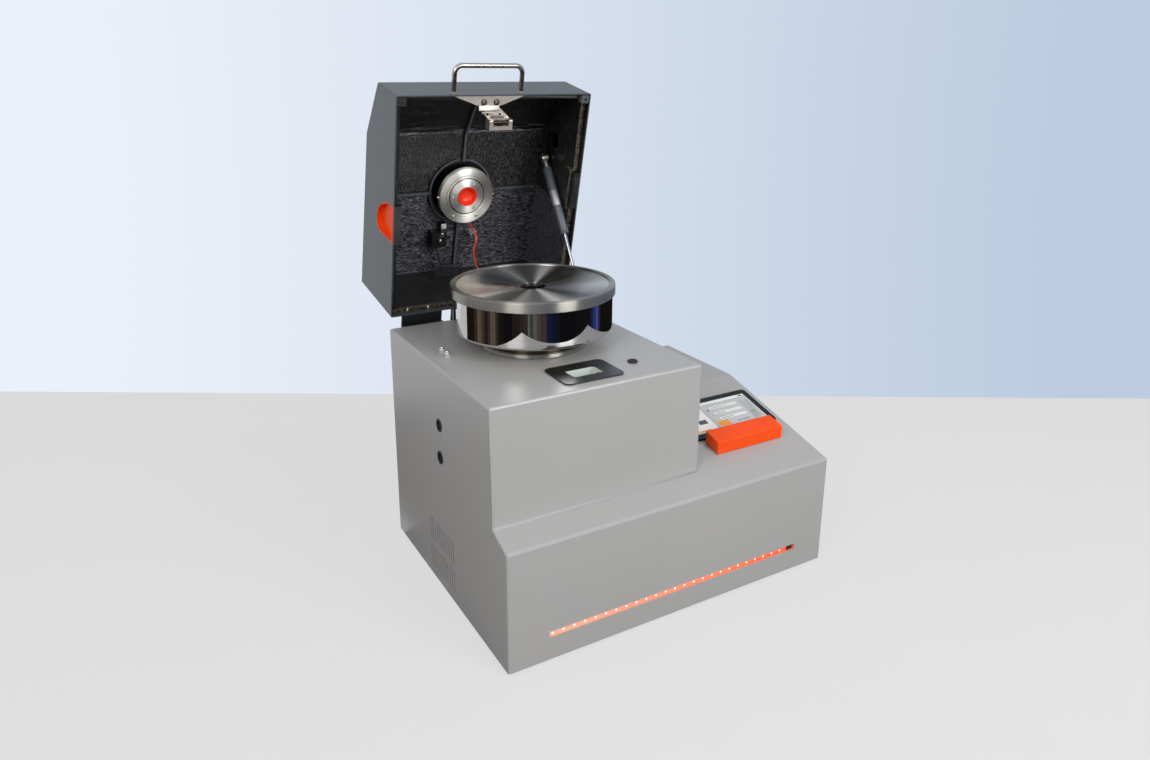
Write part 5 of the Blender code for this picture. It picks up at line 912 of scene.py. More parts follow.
class MILL_OT_display(MillOperator, bpy.types.Operator):
    """Makes the screen with a plain generic picture, its frame and the rest in front of it"""

    bl_idname = "mill.display"
    bl_label = "Display"

    def execute(self, context):
        dress("display_bezel", "black_glass", bevel=0.5 * mm)
        dress("screen_rest", "moulded_abs_orange", bevel=0.4 * mm)
        level = 4.3 * mm
        left, right = 381.8 * mm, 526.2 * mm
        low, high = 113.8 * mm, 183.2 * mm
        base = block((left, low, level - 0.9 * mm), (right, high, level - 0.05 * mm), 0.15 * mm)
        piece = add_piece("screen_picture", base, "screen_grey", "root", console)
        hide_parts("display_screen")
        # Bars, fields and buttons as shares of the screen's width and height: left, low, right, high
        tiles = {
            "screen_white": [(0.02, 0.90, 0.98, 0.985), (0.02, 0.03, 0.30, 0.80), (0.42, 0.70, 0.80, 0.78),
                             (0.42, 0.50, 0.80, 0.58), (0.42, 0.30, 0.80, 0.38), (0.90, 0.905, 0.97, 0.98)],
            "screen_pale": [(0.33, 0.03, 0.98, 0.86), (0.02, 0.82, 0.30, 0.88), (0.84, 0.10, 0.96, 0.78)],
            "screen_orange": [(0.34, 0.08, 0.50, 0.26), (0.03, 0.04, 0.20, 0.09)],
            "screen_dark": [(0.04, 0.925, 0.16, 0.95), (0.06, 0.45, 0.15, 0.62), (0.13, 0.28, 0.24, 0.42),
                            (0.44, 0.73, 0.60, 0.745), (0.44, 0.53, 0.57, 0.545), (0.44, 0.33, 0.62, 0.345),
                            (0.36, 0.66, 0.39, 0.70), (0.915, 0.925, 0.955, 0.965), (0.60, 0.14, 0.78, 0.155)],
            "screen_green": [(0.87, 0.30, 0.93, 0.36), (0.62, 0.73, 0.66, 0.745)],
        }
        lift = {"screen_pale": 0.0, "screen_white": 0.06 * mm, "screen_orange": 0.10 * mm,
                "screen_dark": 0.12 * mm, "screen_green": 0.12 * mm}
        for name, places in tiles.items():
            parts = []
            for a, b, c, d in places:
                parts.append(block((left + a * (right - left), low + b * (high - low), level - 0.06 * mm),
                                   (left + c * (right - left), low + d * (high - low),
                                    level + 0.04 * mm + lift[name])))
            add_piece("screen_fields_" + name[7:], gather(parts), name, "root", console)
        return {"FINISHED"}


# ---------------------------------------------------------------- latch receiver

class MILL_OT_latch(MillOperator, bpy.types.Operator):
    """Dresses the plate, tray and bolt that take the hood's striker"""

    bl_idname = "mill.latch"
    bl_label = "Latch receiver"

    def execute(self, context):
        dress("latch_plate", "moulded_abs_black", bevel=0.4 * mm)
        dress("latch_tray", "moulded_polyamide_pale", bevel=0.3 * mm)
        dress("latch_bolt", "drawn_stainless", bevel=0.2 * mm)
        rim_points = []
        half_w, half_d, corner = 25.6 * mm, 16.1 * mm, 5.5 * mm
        for cx, cy, start in ((half_w - corner, half_d - corner, 0), (-half_w + corner, half_d - corner, 90),
                              (-half_w + corner, -half_d + corner, 180), (half_w - corner, -half_d + corner, 270)):
            rim_points += [Vector((167 * mm + x, 96.5 * mm + y, tower_top + 1.95 * mm))
                           for x, y in arc((cx, cy), corner, start, start + 90, 6)]
        rim_points.append(rim_points[0])
        add_piece("latch_window_lip", tube(rim_points, 0.5 * mm, 10, False), "moulded_abs_black", "root")
        return {"FINISHED"}


# ---------------------------------------------------------------- vibrating unit and vessel

class MILL_OT_vibrating_unit(MillOperator, bpy.types.Operator):
    """Makes the seat and table of the vibrating unit and dresses its motor and buffers"""

    bl_idname = "mill.vibrating_unit"
    bl_label = "Vibrating unit"

    def execute(self, context):
        dress("motor_body", "primed_cast_iron", bevel=0.5 * mm)
        dress("shaft_with_weight", "burnished_steel", bevel=0.4 * mm)
        for end in ("front", "rear"):
            for side in ("left", "right"):
                dress(f"rubber_buffer_{end}_{side}", "moulded_rubber_black")
        half = 113 * mm
        table = block((unit_x - half, unit_y - half, 325 * mm), (unit_x + half, unit_y + half, 337 * mm), 1.2 * mm)
        piece = add_piece("table_plate", table, "primed_cast_iron", "vibrating_unit")
        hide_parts("swing_table")
        low, groove, collar = 334 * mm, seat_top - 6 * mm, tower_top + 0.8 * mm
        profile = [(0, low), (74 * mm, low), (74 * mm, collar), (80.1 * mm, collar), (80.5 * mm, collar + 0.4 * mm),
                   (80.5 * mm, collar + 4.5 * mm), (80.2 * mm, collar + 5.1 * mm), (79.4 * mm, collar + 5.4 * mm),
                   (74.3 * mm, collar + 5.4 * mm), (74 * mm, collar + 5.7 * mm), (74 * mm, groove - 6.5 * mm),
                   (74.4 * mm, groove - 5.4 * mm), (80 * mm, groove - 0.6 * mm), (80.8 * mm, groove),
                   (81 * mm, groove + 0.5 * mm), (81 * mm, seat_top - 1.0 * mm), (80.7 * mm, seat_top - 0.3 * mm),
                   (80 * mm, seat_top), (58 * mm, seat_top), (58 * mm, seat_top + 2 * mm),
                   (57.5 * mm, seat_top + 2.5 * mm), (0, seat_top + 2.5 * mm)]
        bm = turn(profile)
        # The neck takes the steel drawn darker and browner, a painted shade; the collar takes the rim's steel.
        for face in bm.faces:
            middle = face.calc_center_median()
            face.material_index = 1 if collar < middle.z < collar + 5.5 * mm and middle.to_2d().length > 75 * mm else 0
        add_piece("vessel_seat", bm, ["stainless_painted_shade", "turned_stainless_rim"],
                  "vibrating_unit", unit_space, own_axis=True)
        return {"FINISHED"}


class MILL_OT_vessel(MillOperator, bpy.types.Operator):
    """Makes the grinding vessel: bowl, lid, seal, ring and puck"""

    bl_idname = "mill.vessel"
    bl_label = "Grinding vessel"

    def execute(self, context):
        radius, inner = bowl_radius, bowl_inner
        floor = bowl_low + 14 * mm
        profile = [(0, bowl_low + 2.8 * mm), (59.2 * mm, bowl_low + 2.8 * mm), (59.2 * mm, bowl_low)]
        profile += [(radius - 5 * mm, bowl_low)]
        profile += arc((radius - 5 * mm, bowl_low + 5 * mm), 5 * mm, -80, 0, 8)
        profile += [(radius, bowl_high - 0.6 * mm), (radius - 0.6 * mm, bowl_high), (inner + 0.6 * mm, bowl_high),
                    (inner, bowl_high - 0.6 * mm), (inner, floor + 3 * mm), (inner - 0.9 * mm, floor + 0.9 * mm),
                    (inner - 3 * mm, floor), (0, floor)]
        piece = add_piece("bowl", turn(profile, steps=192), "mirror_polished_stainless", "bowl",
                          unit_space, own_axis=True)
        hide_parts("vessel_bowl")
        self.lid(inner)
        self.grinders(floor)
        return {"FINISHED"}

    def lid(self, inner):
        radius, top = 123 * mm, lid_high
        spigot = inner - 0.8 * mm
        well = top - 6.5 * mm
        rim_inner = 114 * mm
        profile = [(0, lid_low - 4 * mm), (spigot - 0.5 * mm, lid_low - 4 * mm), (spigot, lid_low - 3.5 * mm),
                   (spigot, lid_low - 2.1 * mm), (spigot - 2.1 * mm, lid_low - 2.1 * mm), (spigot - 2.1 * mm, lid_low),
                   (radius - 0.9 * mm, lid_low), (radius, lid_low + 0.9 * mm), (radius, top - 1.6 * mm)]
        profile += arc((radius - 1.6 * mm, top - 1.6 * mm), 1.6 * mm, 20, 90, 4)
        profile += [(rim_inner + 0.2 * mm, top), (rim_inner, top - 0.2 * mm), (rim_inner - 0.5 * mm, top - 1.4 * mm),
                    (rim_inner - 1.4 * mm, top - 1.45 * mm), (20.6 * mm, well), (19.9 * mm, well - 0.2 * mm),
                    (19.5 * mm, well - 0.8 * mm), (17.9 * mm, well - 4.6 * mm), (17.2 * mm, well - 5 * mm),
                    (0, well - 5 * mm)]
        bm = turn(profile, steps=192)
        for face in bm.faces:
            middle = face.calc_center_median()
            reach = middle.to_2d().length
            if reach < 19.3 * mm and middle.z > lid_low:
                face.material_index = 2
            elif reach < rim_inner and middle.z > lid_low:
                face.material_index = 1
        piece = add_piece("lid", bm, ["turned_stainless_rim", "turned_stainless_painted_fans", "turned_steel_dark"], "lid",
                          unit_space, 28, True)
        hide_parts("vessel_lid")
        seal = [(spigot - 1.8 * mm, lid_low - 1.8 * mm), (spigot - 0.2 * mm, lid_low - 1.8 * mm),
                (spigot, lid_low - 0.9 * mm), (spigot - 0.2 * mm, lid_low - 0.3 * mm),
                (spigot - 1.8 * mm, lid_low - 0.3 * mm)]
        ring = add_piece("lid_gasket", turn(seal, steps=96, closed=True), "moulded_rubber_black", "lid",
                         unit_space)
        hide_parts("lid_seal")

    def grinders(self, floor):
        low, high, edge = floor + 0.3 * mm, floor + 34.8 * mm, 2.5 * mm
        outer, inner, puck = 82 * mm, 60 * mm, 46 * mm
        profile = [(inner + edge, low), (outer - edge, low), (outer, low + edge), (outer, high - edge),
                   (outer - edge, high), (inner + edge, high), (inner, high - edge), (inner, low + edge)]
        piece = add_piece("hard_ring", turn(profile, steps=96, closed=True), "turned_stainless", "ring",
                          unit_space, own_axis=True)
        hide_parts("grinding_ring")
        profile = [(0, low), (puck - edge, low), (puck, low + edge), (puck, high - edge), (puck - edge, high),
                   (9 * mm, high), (8 * mm, high - mm), (8 * mm, high - 6 * mm), (0, high - 6 * mm)]
        piece = add_piece("hard_puck", turn(profile, steps=96), "turned_stainless", "puck",
                          unit_space, own_axis=True)
        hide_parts("grinding_puck")


# ---------------------------------------------------------------- hood

def inside_hood(place, normal):
    """The grips' pockets stand inside the hood and are covered with the lining's foil."""
    at = hood.inverted() @ (machine @ place)
    within = hood_left + 1.8 * mm < at.x < hood_right - 1.8 * mm and hood_front + 1.8 * mm < at.y < hood_rear - 1.8 * mm
    return 1 if within else 0


class MILL_OT_hood_shell(MillOperator, bpy.types.Operator):
    """Paints the hood and makes its handle and bumpers"""

    bl_idname = "mill.hood_shell"
    bl_label = "Hood shell"

    def execute(self, context):
        dress("hood_shell", "powder_coat_anthracite", "smooth_foil_on_foam", bevel=0.35 * mm, pick=inside_hood)
        for side in ("left", "right"):
            dress("grip_" + side, "moulded_abs_orange", bevel=0.35 * mm)
            # The right bumper takes the rubber drawn lighter, a painted light.
            dress("bumper_" + side, "moulded_rubber_painted_lit" if side == "right" else "moulded_rubber_black",
                  bevel=0.4 * mm)
        self.handle()
        self.bumper_screws()
        return {"FINISHED"}

    def handle(self):
        """A bent bar on two legs, with a washer at each foot."""
        level, radius, bend = rim + 12 * mm, 3.75 * mm, 11.5 * mm
        left, right, far = 96 * mm, 206 * mm, hood_front - 40 * mm
        points = [(left, hood_front - 0.35 * mm, level), (left, hood_front - 12 * mm, level)]
        points += [(x, y, level) for x, y in arc((left + bend, far + bend), bend, 180, 270, 12)]
        points += [(x, y, level) for x, y in arc((right - bend, far + bend), bend, 270, 360, 12)]
        points += [(right, hood_front - 12 * mm, level), (right, hood_front - 0.35 * mm, level)]
        piece = add_piece("handle_bar", tube(points, radius, 28), "drawn_stainless", "hood", hood)
        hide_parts("hood_handle")
        feet = [placed(turn([(0, 0), (5.6 * mm, 0), (5.6 * mm, 0.5 * mm), (5.2 * mm, 0.8 * mm), (0, 0.8 * mm)],
                            steps=small_steps), (x, hood_front - 0.1 * mm, level), "-Y") for x in (left, right)]
        add_piece("handle_washers", gather(feet), "drawn_stainless", "hood", hood)
        screws = [placed(button_screw(4.4 * mm, 2.4 * mm, 1.6 * mm), (x, hood_front + 2.1 * mm, level), "Y")
                  for x in (left, right)]
        add_piece("handle_screws", gather(screws), "zinc_plated_steel", "hood", hood)

    def bumper_screws(self):
        heads = []
        for x in (hood_left + 9.3 * mm, hood_right - 9.3 * mm):
            heads.append(placed(button_screw(2.6 * mm, 0.22 * mm, 1.0 * mm),
                                (x, hood_front + 9.5 * mm, tower_top + 0.35 * mm), "-Z"))
        add_piece("bumper_screws", gather(heads), "black_oxide_steel", "hood", hood)


class MILL_OT_hood_lining(MillOperator, bpy.types.Operator):
    """Makes the foam panels with their creased foil and brown cut edges"""

    bl_idname = "mill.hood_lining"
    bl_label = "Hood lining"

    def execute(self, context):
        sizes = context.scene.mill_sizes
        for name in ("ceiling", "chamfer", "front", "rear", "left", "right"):
            self.panel(name, sizes)
        return {"FINISHED"}

    def panel(self, name, sizes):
        """Cuts the panel's form into small cells and presses creases into its inner face."""
        bm = bmesh.new()
        bm.from_mesh(nodes["lining_" + name].data)
        bmesh.ops.remove_doubles(bm, verts=bm.verts, dist=0.02 * mm)
        bm.transform(hood.inverted())
        inward = self.inward(bm, name)
        for direction in self.directions(name, inward):
            spans = [vert.co.dot(direction) for vert in bm.verts]
            low, high = min(spans), max(spans)
            count = int((high - low) / sizes.emboss_cell)
            for step in range(1, count):
                place = direction * (low + (high - low) * step / count)
                bmesh.ops.bisect_plane(bm, geom=bm.verts[:] + bm.edges[:] + bm.faces[:], dist=0.01 * mm,
                                       plane_co=place, plane_no=direction)
        bm.normal_update()
        facing = [face for face in bm.faces if face.normal.dot(inward) > 0.8]
        wrapped = name in ("left", "front", "chamfer")
        ends = [vert.co.y for vert in bm.verts]
        fold_y = max(ends) if name == "chamfer" else min(ends)
        for face in bm.faces:
            lower = face.calc_center_median().y > unit_y
            face.material_index = (1 if lower else 0) if face.normal.dot(inward) > 0.3 else (0 if wrapped else 2)
            if name == "ceiling" and face.normal.y < -0.8:
                face.material_index = 3
            if (name == "chamfer" and face.calc_center_median().y > fold_y - 13 * mm) or (
                    name == "ceiling" and face.calc_center_median().y < fold_y + 8 * mm
                    and face.calc_center_median().x < 110 * mm and face.material_index == 0):
                face.material_index = 4
        inner = set(facing)
        strength = sizes.emboss_depth * (0.25 if name == "rear" else 1.0)
        for vert in {vert for face in facing for vert in face.verts}:
            if all(face in inner for face in vert.link_faces):
                vert.co -= inward * self.crease(vert.co, name) * strength
        foils = {"ceiling": ("embossed_foil_along", "embossed_foil_across"),
                 "rear": ("smooth_foil_on_foam", "smooth_foil_on_foam")}
        first, second = foils.get(name, ("smooth_foil_on_foam", "embossed_foil_across"))
        if name == "ceiling":
            self.fold(bm)
        piece = add_piece("foam_" + name, bm, [first, second, "cut_foam_edge", "folded_foil", "crinkled_foil"],
                          "hood", hood, 180)
        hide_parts("lining_" + name)

    def fold(self, bm):
        """The crinkled fold of foil along the ceiling's front edge."""
        xs, ys, zs = ([vert.co[axis] for vert in bm.verts] for axis in range(3))
        left, right, front, face = min(xs) + 2 * mm, max(xs) - 2 * mm, min(ys), min(zs)
        points = []
        for step in range(141):
            x = left + (right - left) * step / 140
            shift = noise.noise(Vector((x * 90, 4, 1))) * 1.5 * mm + noise.noise(Vector((x * 300, 8, 3))) * 0.7 * mm
            points.append((x, front + 0.6 * mm + shift, face - 0.1 * mm + 0.8 * mm * noise.noise(Vector((x * 210, 1, 6)))))
        add_piece("foil_fold", tube(points, 0.8 * mm, 6), "folded_foil", "hood", hood)

    def inward(self, bm, name):
        """The direction that the panel's open face looks in, on the closed hood."""
        known = {"left": Vector((1, 0, 0)), "right": Vector((-1, 0, 0))}
        if name in known:
            return known[name]
        guess = {"ceiling": Vector((0, 0, -1)), "chamfer": Vector((0, 0.5, -0.86)),
                 "front": Vector((0, 1, 0)), "rear": Vector((0, -1, 0))}[name]
        bm.normal_update()
        best = max(bm.faces, key=lambda face: face.normal.dot(guess.normalized()) * face.calc_area())
        return best.normal.copy()

    def directions(self, name, inward):
        if name in ("left", "right"):
            return Vector((0, 1, 0)), Vector((0, 0, 1))
        across = Vector((1, 0, 0))
        return across, inward.cross(across).normalized()

    def crease(self, place, name):
        """Short creases that run across the hood, in patches of different strength."""
        if name in ("left", "right"):
            point = Vector((place.y * 1.0, place.z * 0.45, 0))
        else:
            point = Vector((place.x * 0.42, place.y, place.z))
        fine = noise.noise(point * 260 + Vector((3, 1, 7)))
        broad = noise.noise(point * 95 + Vector((11, 5, 2)))
        patch = 0.65 + 0.5 * noise.noise(place * 14)
        ridge = 1 - abs(fine) * 2.2
        return max(-0.3, min(1.0, (ridge * 0.7 + broad * 0.6) * patch))


# ---------------------------------------------------------------- clamp

def rib_painted_lit_edge(place, normal):
    """The bars' narrow edges, which face the open side, are drawn paler: a painted highlight."""
    return 1 if (hood.to_3x3().inverted() @ normal).z < -0.8 else 0


class MILL_OT_clamp(MillOperator, bpy.types.Operator):
    """Makes the clamp's drum, flange and cup and dresses the bars that carry it"""

    bl_idname = "mill.clamp"
    bl_label = "Clamp"

    def execute(self, context):
        dress("clamp_ribs", "powder_coat_blue_black", "powder_coat_painted_lit_edge", bevel=0.5 * mm, pick=rib_painted_lit_edge)
        dress("clamp_cylinder", "burnished_steel", bevel=0.8 * mm)
        disc, groove, boss, rim_radius = 30.5 * mm, 32.2 * mm, 36.6 * mm, 48.7 * mm
        profile = [(17.3 * mm, 8.7 * mm), (17.3 * mm, -1.5 * mm), (disc - 1.0 * mm, -1.5 * mm),
                   (disc - 0.3 * mm, -1.2 * mm), (disc, -0.5 * mm), (disc, 3.8 * mm), (groove, 3.8 * mm),
                   (groove, -0.1 * mm), (groove + 0.7 * mm, -0.8 * mm), (boss - 0.4 * mm, -0.8 * mm),
                   (boss, -0.4 * mm), (boss, 0), (rim_radius - 1.0 * mm, 0), (rim_radius - 0.3 * mm, 0.3 * mm),
                   (rim_radius, 1.0 * mm), (rim_radius, 9.2 * mm), (rim_radius - 0.8 * mm, 10 * mm),
                   (20 * mm, 10 * mm), (20 * mm, 36 * mm), (0, 36 * mm), (0, 8.7 * mm)]
        bm = turn(profile)
        for face in bm.faces:
            middle = face.calc_center_median()
            reach = middle.to_2d().length
            # The groove's floor and the boss's step wall take black rubber; on the step wall it is a painted shade
            # line.
            sunk = disc < reach < groove and middle.z > mm
            wall = abs(reach - boss) < 0.3 * mm and -0.6 * mm < middle.z < 0
            face.material_index = 1 if sunk or wall else 0
        piece = add_piece("flange", bm, ["turned_steel_pale", "moulded_rubber_black"], "clamp_piston",
                          clamp_space, 25, True)
        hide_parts("clamp_flange")
        piece = add_piece("cup", self.cup(), "cast_pu_red", "clamp_piston", clamp_space)
        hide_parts("centring_cup")
        self.flange_parts(rim_radius)
        return {"FINISHED"}

    def cup(self):
        """A dished cup with a rounded lip."""
        profile = [(0, 8.4 * mm), (17 * mm, 8.4 * mm), (17 * mm, -1.6 * mm), (16.8 * mm, -2.1 * mm),
                   (16.1 * mm, -2.4 * mm), (15.4 * mm, -2.1 * mm), (14.8 * mm, -1.0 * mm), (13.9 * mm, 2.0 * mm),
                   (12.3 * mm, 4.4 * mm), (9.9 * mm, 6.4 * mm), (6.8 * mm, 7.7 * mm), (3.4 * mm, 8.2 * mm),
                   (0, 8.3 * mm)]
        return turn(profile, steps=72)

    def flange_parts(self, rim_radius):
        """Three small screws in the inner plate, two in the flange and two edge pins."""
        small, large, pins = [], [], []
        for angle in (-60, 60, 180):
            x, y = (24.5 * mm * turned for turned in (math.cos(math.radians(angle)), math.sin(math.radians(angle))))
            small.append(placed(button_screw(2.0 * mm, 0.7 * mm, 1.0 * mm), (x, y, -1.45 * mm), "-Z"))
        for angle in (61, 122):
            x, y = (41.0 * mm * turned for turned in (math.cos(math.radians(angle)), math.sin(math.radians(angle))))
            large.append(placed(button_screw(2.9 * mm, 1.5 * mm, 1.4 * mm), (x, y, 0.1 * mm), "-Z"))
        add_piece("flange_screws_small", gather(small), "chromed_steel", "clamp_piston", clamp_space)
        add_piece("flange_screws", gather(large), "zinc_plated_steel", "clamp_piston", clamp_space)
        for sign, axis in ((-1, "-X"), (1, "X")):
            pins.append(placed(turn([(0, 0), (1.7 * mm, 0), (1.7 * mm, 2.6 * mm), (1.2 * mm, 3.1 * mm),
                                     (0, 3.1 * mm)], steps=16), (sign * (rim_radius - 0.1 * mm), 0, 4.5 * mm), axis))
        add_piece("flange_pins", gather(pins), "chromed_steel", "clamp_piston", clamp_space)


# ---------------------------------------------------------------- striker

class MILL_OT_striker(MillOperator, bpy.types.Operator):
    """Dresses the latch striker and makes its screws and roller"""

    bl_idname = "mill.striker"
    bl_label = "Latch striker"

    def execute(self, context):
        dress("latch_striker", "blasted_zinc_plate", bevel=0.45 * mm)
        places = [(x, 62.0 * mm, rim + 1.9 * mm) for x in (141.5 * mm, 162 * mm)]
        heads = [placed(button_screw(3.4 * mm, 0.42 * mm, 1.4 * mm), place, "-Z") for place in places]
        add_piece("striker_screws", gather(heads), "dull_zinc_screw", "hood", hood)
        washers = [placed(turn([(3.3 * mm, 0), (4.7 * mm, 0), (4.7 * mm, 0.4 * mm), (3.3 * mm, 0.4 * mm)], steps=28,
                               closed=True), place, "-Z") for place in places]
        add_piece("striker_washers", gather(washers), "burnished_steel", "hood", hood)
        self.bent_plates()
        roller = turn([(0, 0), (3.0 * mm, 0), (3.4 * mm, 0.4 * mm), (3.4 * mm, 24.8 * mm), (3.0 * mm, 25.2 * mm),
                       (0, 25.2 * mm)], (154.4 * mm, 91.5 * mm, rim - 4.4 * mm), 0, 28)
        add_piece("striker_roller", roller, "burnished_steel", "hood", hood)
        catch = prism([(87.5 * mm, rim - 6.6 * mm), (95 * mm, rim - 7.6 * mm), (96 * mm, rim - 5.5 * mm),
                       (96 * mm, rim - 1.5 * mm), (88 * mm, rim - 0.8 * mm)], 0, 163 * mm, 171 * mm, 0.5 * mm)
        add_piece("striker_catch", catch, "burnished_steel", "hood", hood)
        rivets = []
        for x in (148.3 * mm, 168.6 * mm):
            rivets.append(placed(turn([(0, 0.17 * mm), (1.2 * mm, 0.16 * mm), (1.8 * mm, 0.1 * mm), (1.9 * mm, 0),
                                       (0, 0)], steps=20), (x, 80 * mm, rim + 1.62 * mm), "-Z"))
        add_piece("striker_rivets", gather(rivets), "burnished_steel", "hood", hood)
        return {"FINISHED"}

    def bent_plates(self):
        """The bent foot of the backing and the offset plate that carries the catch."""
        foot = prism([(66.4 * mm, rim + 4.6 * mm), (67.2 * mm, rim + 3.2 * mm), (74.2 * mm, rim + 1.5 * mm),
                      (75.4 * mm, rim + 2.0 * mm), (75.4 * mm, rim + 3.0 * mm), (68.6 * mm, rim + 4.7 * mm)],
                     0, 134.2 * mm, 167.6 * mm, 0.25 * mm)
        outline = [(139 * mm, 76.9 * mm), (171 * mm, 76.9 * mm), (171.5 * mm, 80 * mm), (177 * mm, 80.6 * mm),
                   (177 * mm, 86.2 * mm), (147.5 * mm, 86.2 * mm), (146 * mm, 83.6 * mm), (141.5 * mm, 80 * mm)]
        plate = prism(outline, 2, rim + 1.6 * mm, rim + 3.4 * mm, 0.3 * mm)
        lip = prism([(76.6 * mm, rim + 2.9 * mm), (77.2 * mm, rim + 1.5 * mm), (80.0 * mm, rim + 1.7 * mm),
                     (80.0 * mm, rim + 2.9 * mm)], 0, 139.4 * mm, 170.6 * mm, 0.15 * mm)
        band = prism([(86.7 * mm, rim - 8.9 * mm), (88.4 * mm, rim - 9.4 * mm), (91.2 * mm, rim - 9.5 * mm),
                      (91.2 * mm, rim - 8.9 * mm)], 0, 148.2 * mm, 153.4 * mm, 0.2 * mm)
        other = prism([(86.7 * mm, rim - 8.9 * mm), (88.4 * mm, rim - 9.4 * mm), (91.2 * mm, rim - 9.5 * mm),
                       (91.2 * mm, rim - 8.9 * mm)], 0, 180.6 * mm, 185.8 * mm, 0.2 * mm)
        add_piece("striker_plates", gather([foot, plate, lip, band, other]), "blasted_zinc_plate", "hood",
                  hood)


# ---------------------------------------------------------------- gas spring

class MILL_OT_gas_spring(MillOperator, bpy.types.Operator):
    """Makes the gas spring with its blank label, eyes, rod and nuts"""

    bl_idname = "mill.gas_spring"
    bl_label = "Gas spring"

    def execute(self, context):
        dress("strut_bracket_upper", "burnished_steel", bevel=0.4 * mm)
        dress("strut_bracket_lower", "black_oxide_steel", bevel=0.4 * mm)
        pivot = Vector(joints["strut_pivot"]["pos_m"])
        up = Vector(joints["strut_slide"]["axis"]).normalized()
        tilt = -math.atan2(up.y, up.z)
        axis = Matrix.Translation(pivot) @ Matrix.Rotation(tilt, 4, "X")
        end, top = -140 * mm, -18.5 * mm
        tube_part = turn([(0, top + 0.4 * mm), (5.6 * mm, top + 0.3 * mm), (7.1 * mm, top - 0.6 * mm),
                          (7.5 * mm, top - 1.8 * mm), (7.5 * mm, end + 5.6 * mm), (7.3 * mm, end + 5.2 * mm),
                          (7.3 * mm, end + 4.6 * mm), (7.5 * mm, end + 4.2 * mm), (7.5 * mm, end + 1.0 * mm),
                          (6.6 * mm, end + 0.1 * mm), (3 * mm, end), (0, end)], steps=48)
        piece = add_piece("spring_tube", tube_part, "painted_tube_grey", "gas_strut", axis)
        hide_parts("strut_cylinder")
        neck = [turn([(0, -4 * mm), (4.2 * mm, -4 * mm), (4.6 * mm, -6 * mm), (4.6 * mm, top + 0.35 * mm),
                      (0, top + 0.35 * mm)], steps=28),
                placed(turn([(3.3 * mm, -5 * mm), (6.6 * mm, -5 * mm), (7 * mm, -4.6 * mm), (7 * mm, 4.6 * mm),
                             (6.6 * mm, 5 * mm), (3.3 * mm, 5 * mm)], steps=32, closed=True), (0, 0, 0), "X")]
        add_piece("spring_eye", gather(neck), "zinc_plated_steel", "gas_strut", axis)
        label = turn([(7.5 * mm, -62 * mm), (7.58 * mm, -62.2 * mm), (7.58 * mm, -88.8 * mm),
                      (7.5 * mm, -89 * mm)], steps=48)
        remove = [face for face in label.faces if face.calc_center_median().y > 2.0 * mm
                  or face.calc_center_median().x > 6.4 * mm]
        bmesh.ops.delete(label, geom=remove, context="FACES")
        bmesh.ops.solidify(label, geom=label.faces[:], thickness=-0.05 * mm)
        add_piece("blank_label", label, "silver_foil_label", "gas_strut", axis)
        length = 259.76 * mm
        rod = [turn([(0, -length + 4 * mm), (3.6 * mm, -length + 4 * mm), (3.8 * mm, -length + 6 * mm),
                     (3.8 * mm, -length + 9.0 * mm), (2.5 * mm, -length + 9.6 * mm), (2.5 * mm, end - 0.5 * mm),
                     (2.5 * mm, end + 3.5 * mm), (0, end + 3.5 * mm)], steps=32),
               placed(turn([(0, -4.8 * mm), (6.4 * mm, -5 * mm), (7 * mm, -4.4 * mm), (7 * mm, 4.4 * mm),
                            (6.4 * mm, 5 * mm), (3 * mm, 5 * mm), (3 * mm, 8.2 * mm), (0, 8.2 * mm)], steps=32),
                      (0, 0, -length), "X")]
        piece = add_piece("spring_rod", gather(rod), "chromed_steel", "strut_piston", axis)
        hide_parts("strut_rod")
        self.nuts()
        return {"FINISHED"}

    def nuts(self):
        """Nuts on the two brackets' studs and a domed head on the upper one."""
        plate = strut_x + 11.05 * mm
        upper = (plate, 182 * mm, rim + 83 * mm)
        heads = [placed(hexagon_nut(5.6 * mm, 4.0 * mm, 2.9 * mm), (plate, 182 * mm, rim + 83 * mm), "X", 0.2),
                 placed(turn([(0, 3.4 * mm), (2.2 * mm, 3.2 * mm), (4.2 * mm, 2.2 * mm), (5.0 * mm, 0.6 * mm),
                              (5.0 * mm, 0), (0, 0)], steps=28),
                        (strut_x - 5.2 * mm, upper[1], upper[2]), "-X")]
        add_piece("upper_stud_nut", gather(heads), "chromed_steel", "hood", hood)
        lower = placed(hexagon_nut(5.6 * mm, 2.0 * mm, 2.9 * mm), (plate, 324 * mm, tower_top + 28 * mm), "X", 0.2)
        add_piece("lower_stud_nut", lower, "chromed_steel", "root")


# ---------------------------------------------------------------- valve and lines

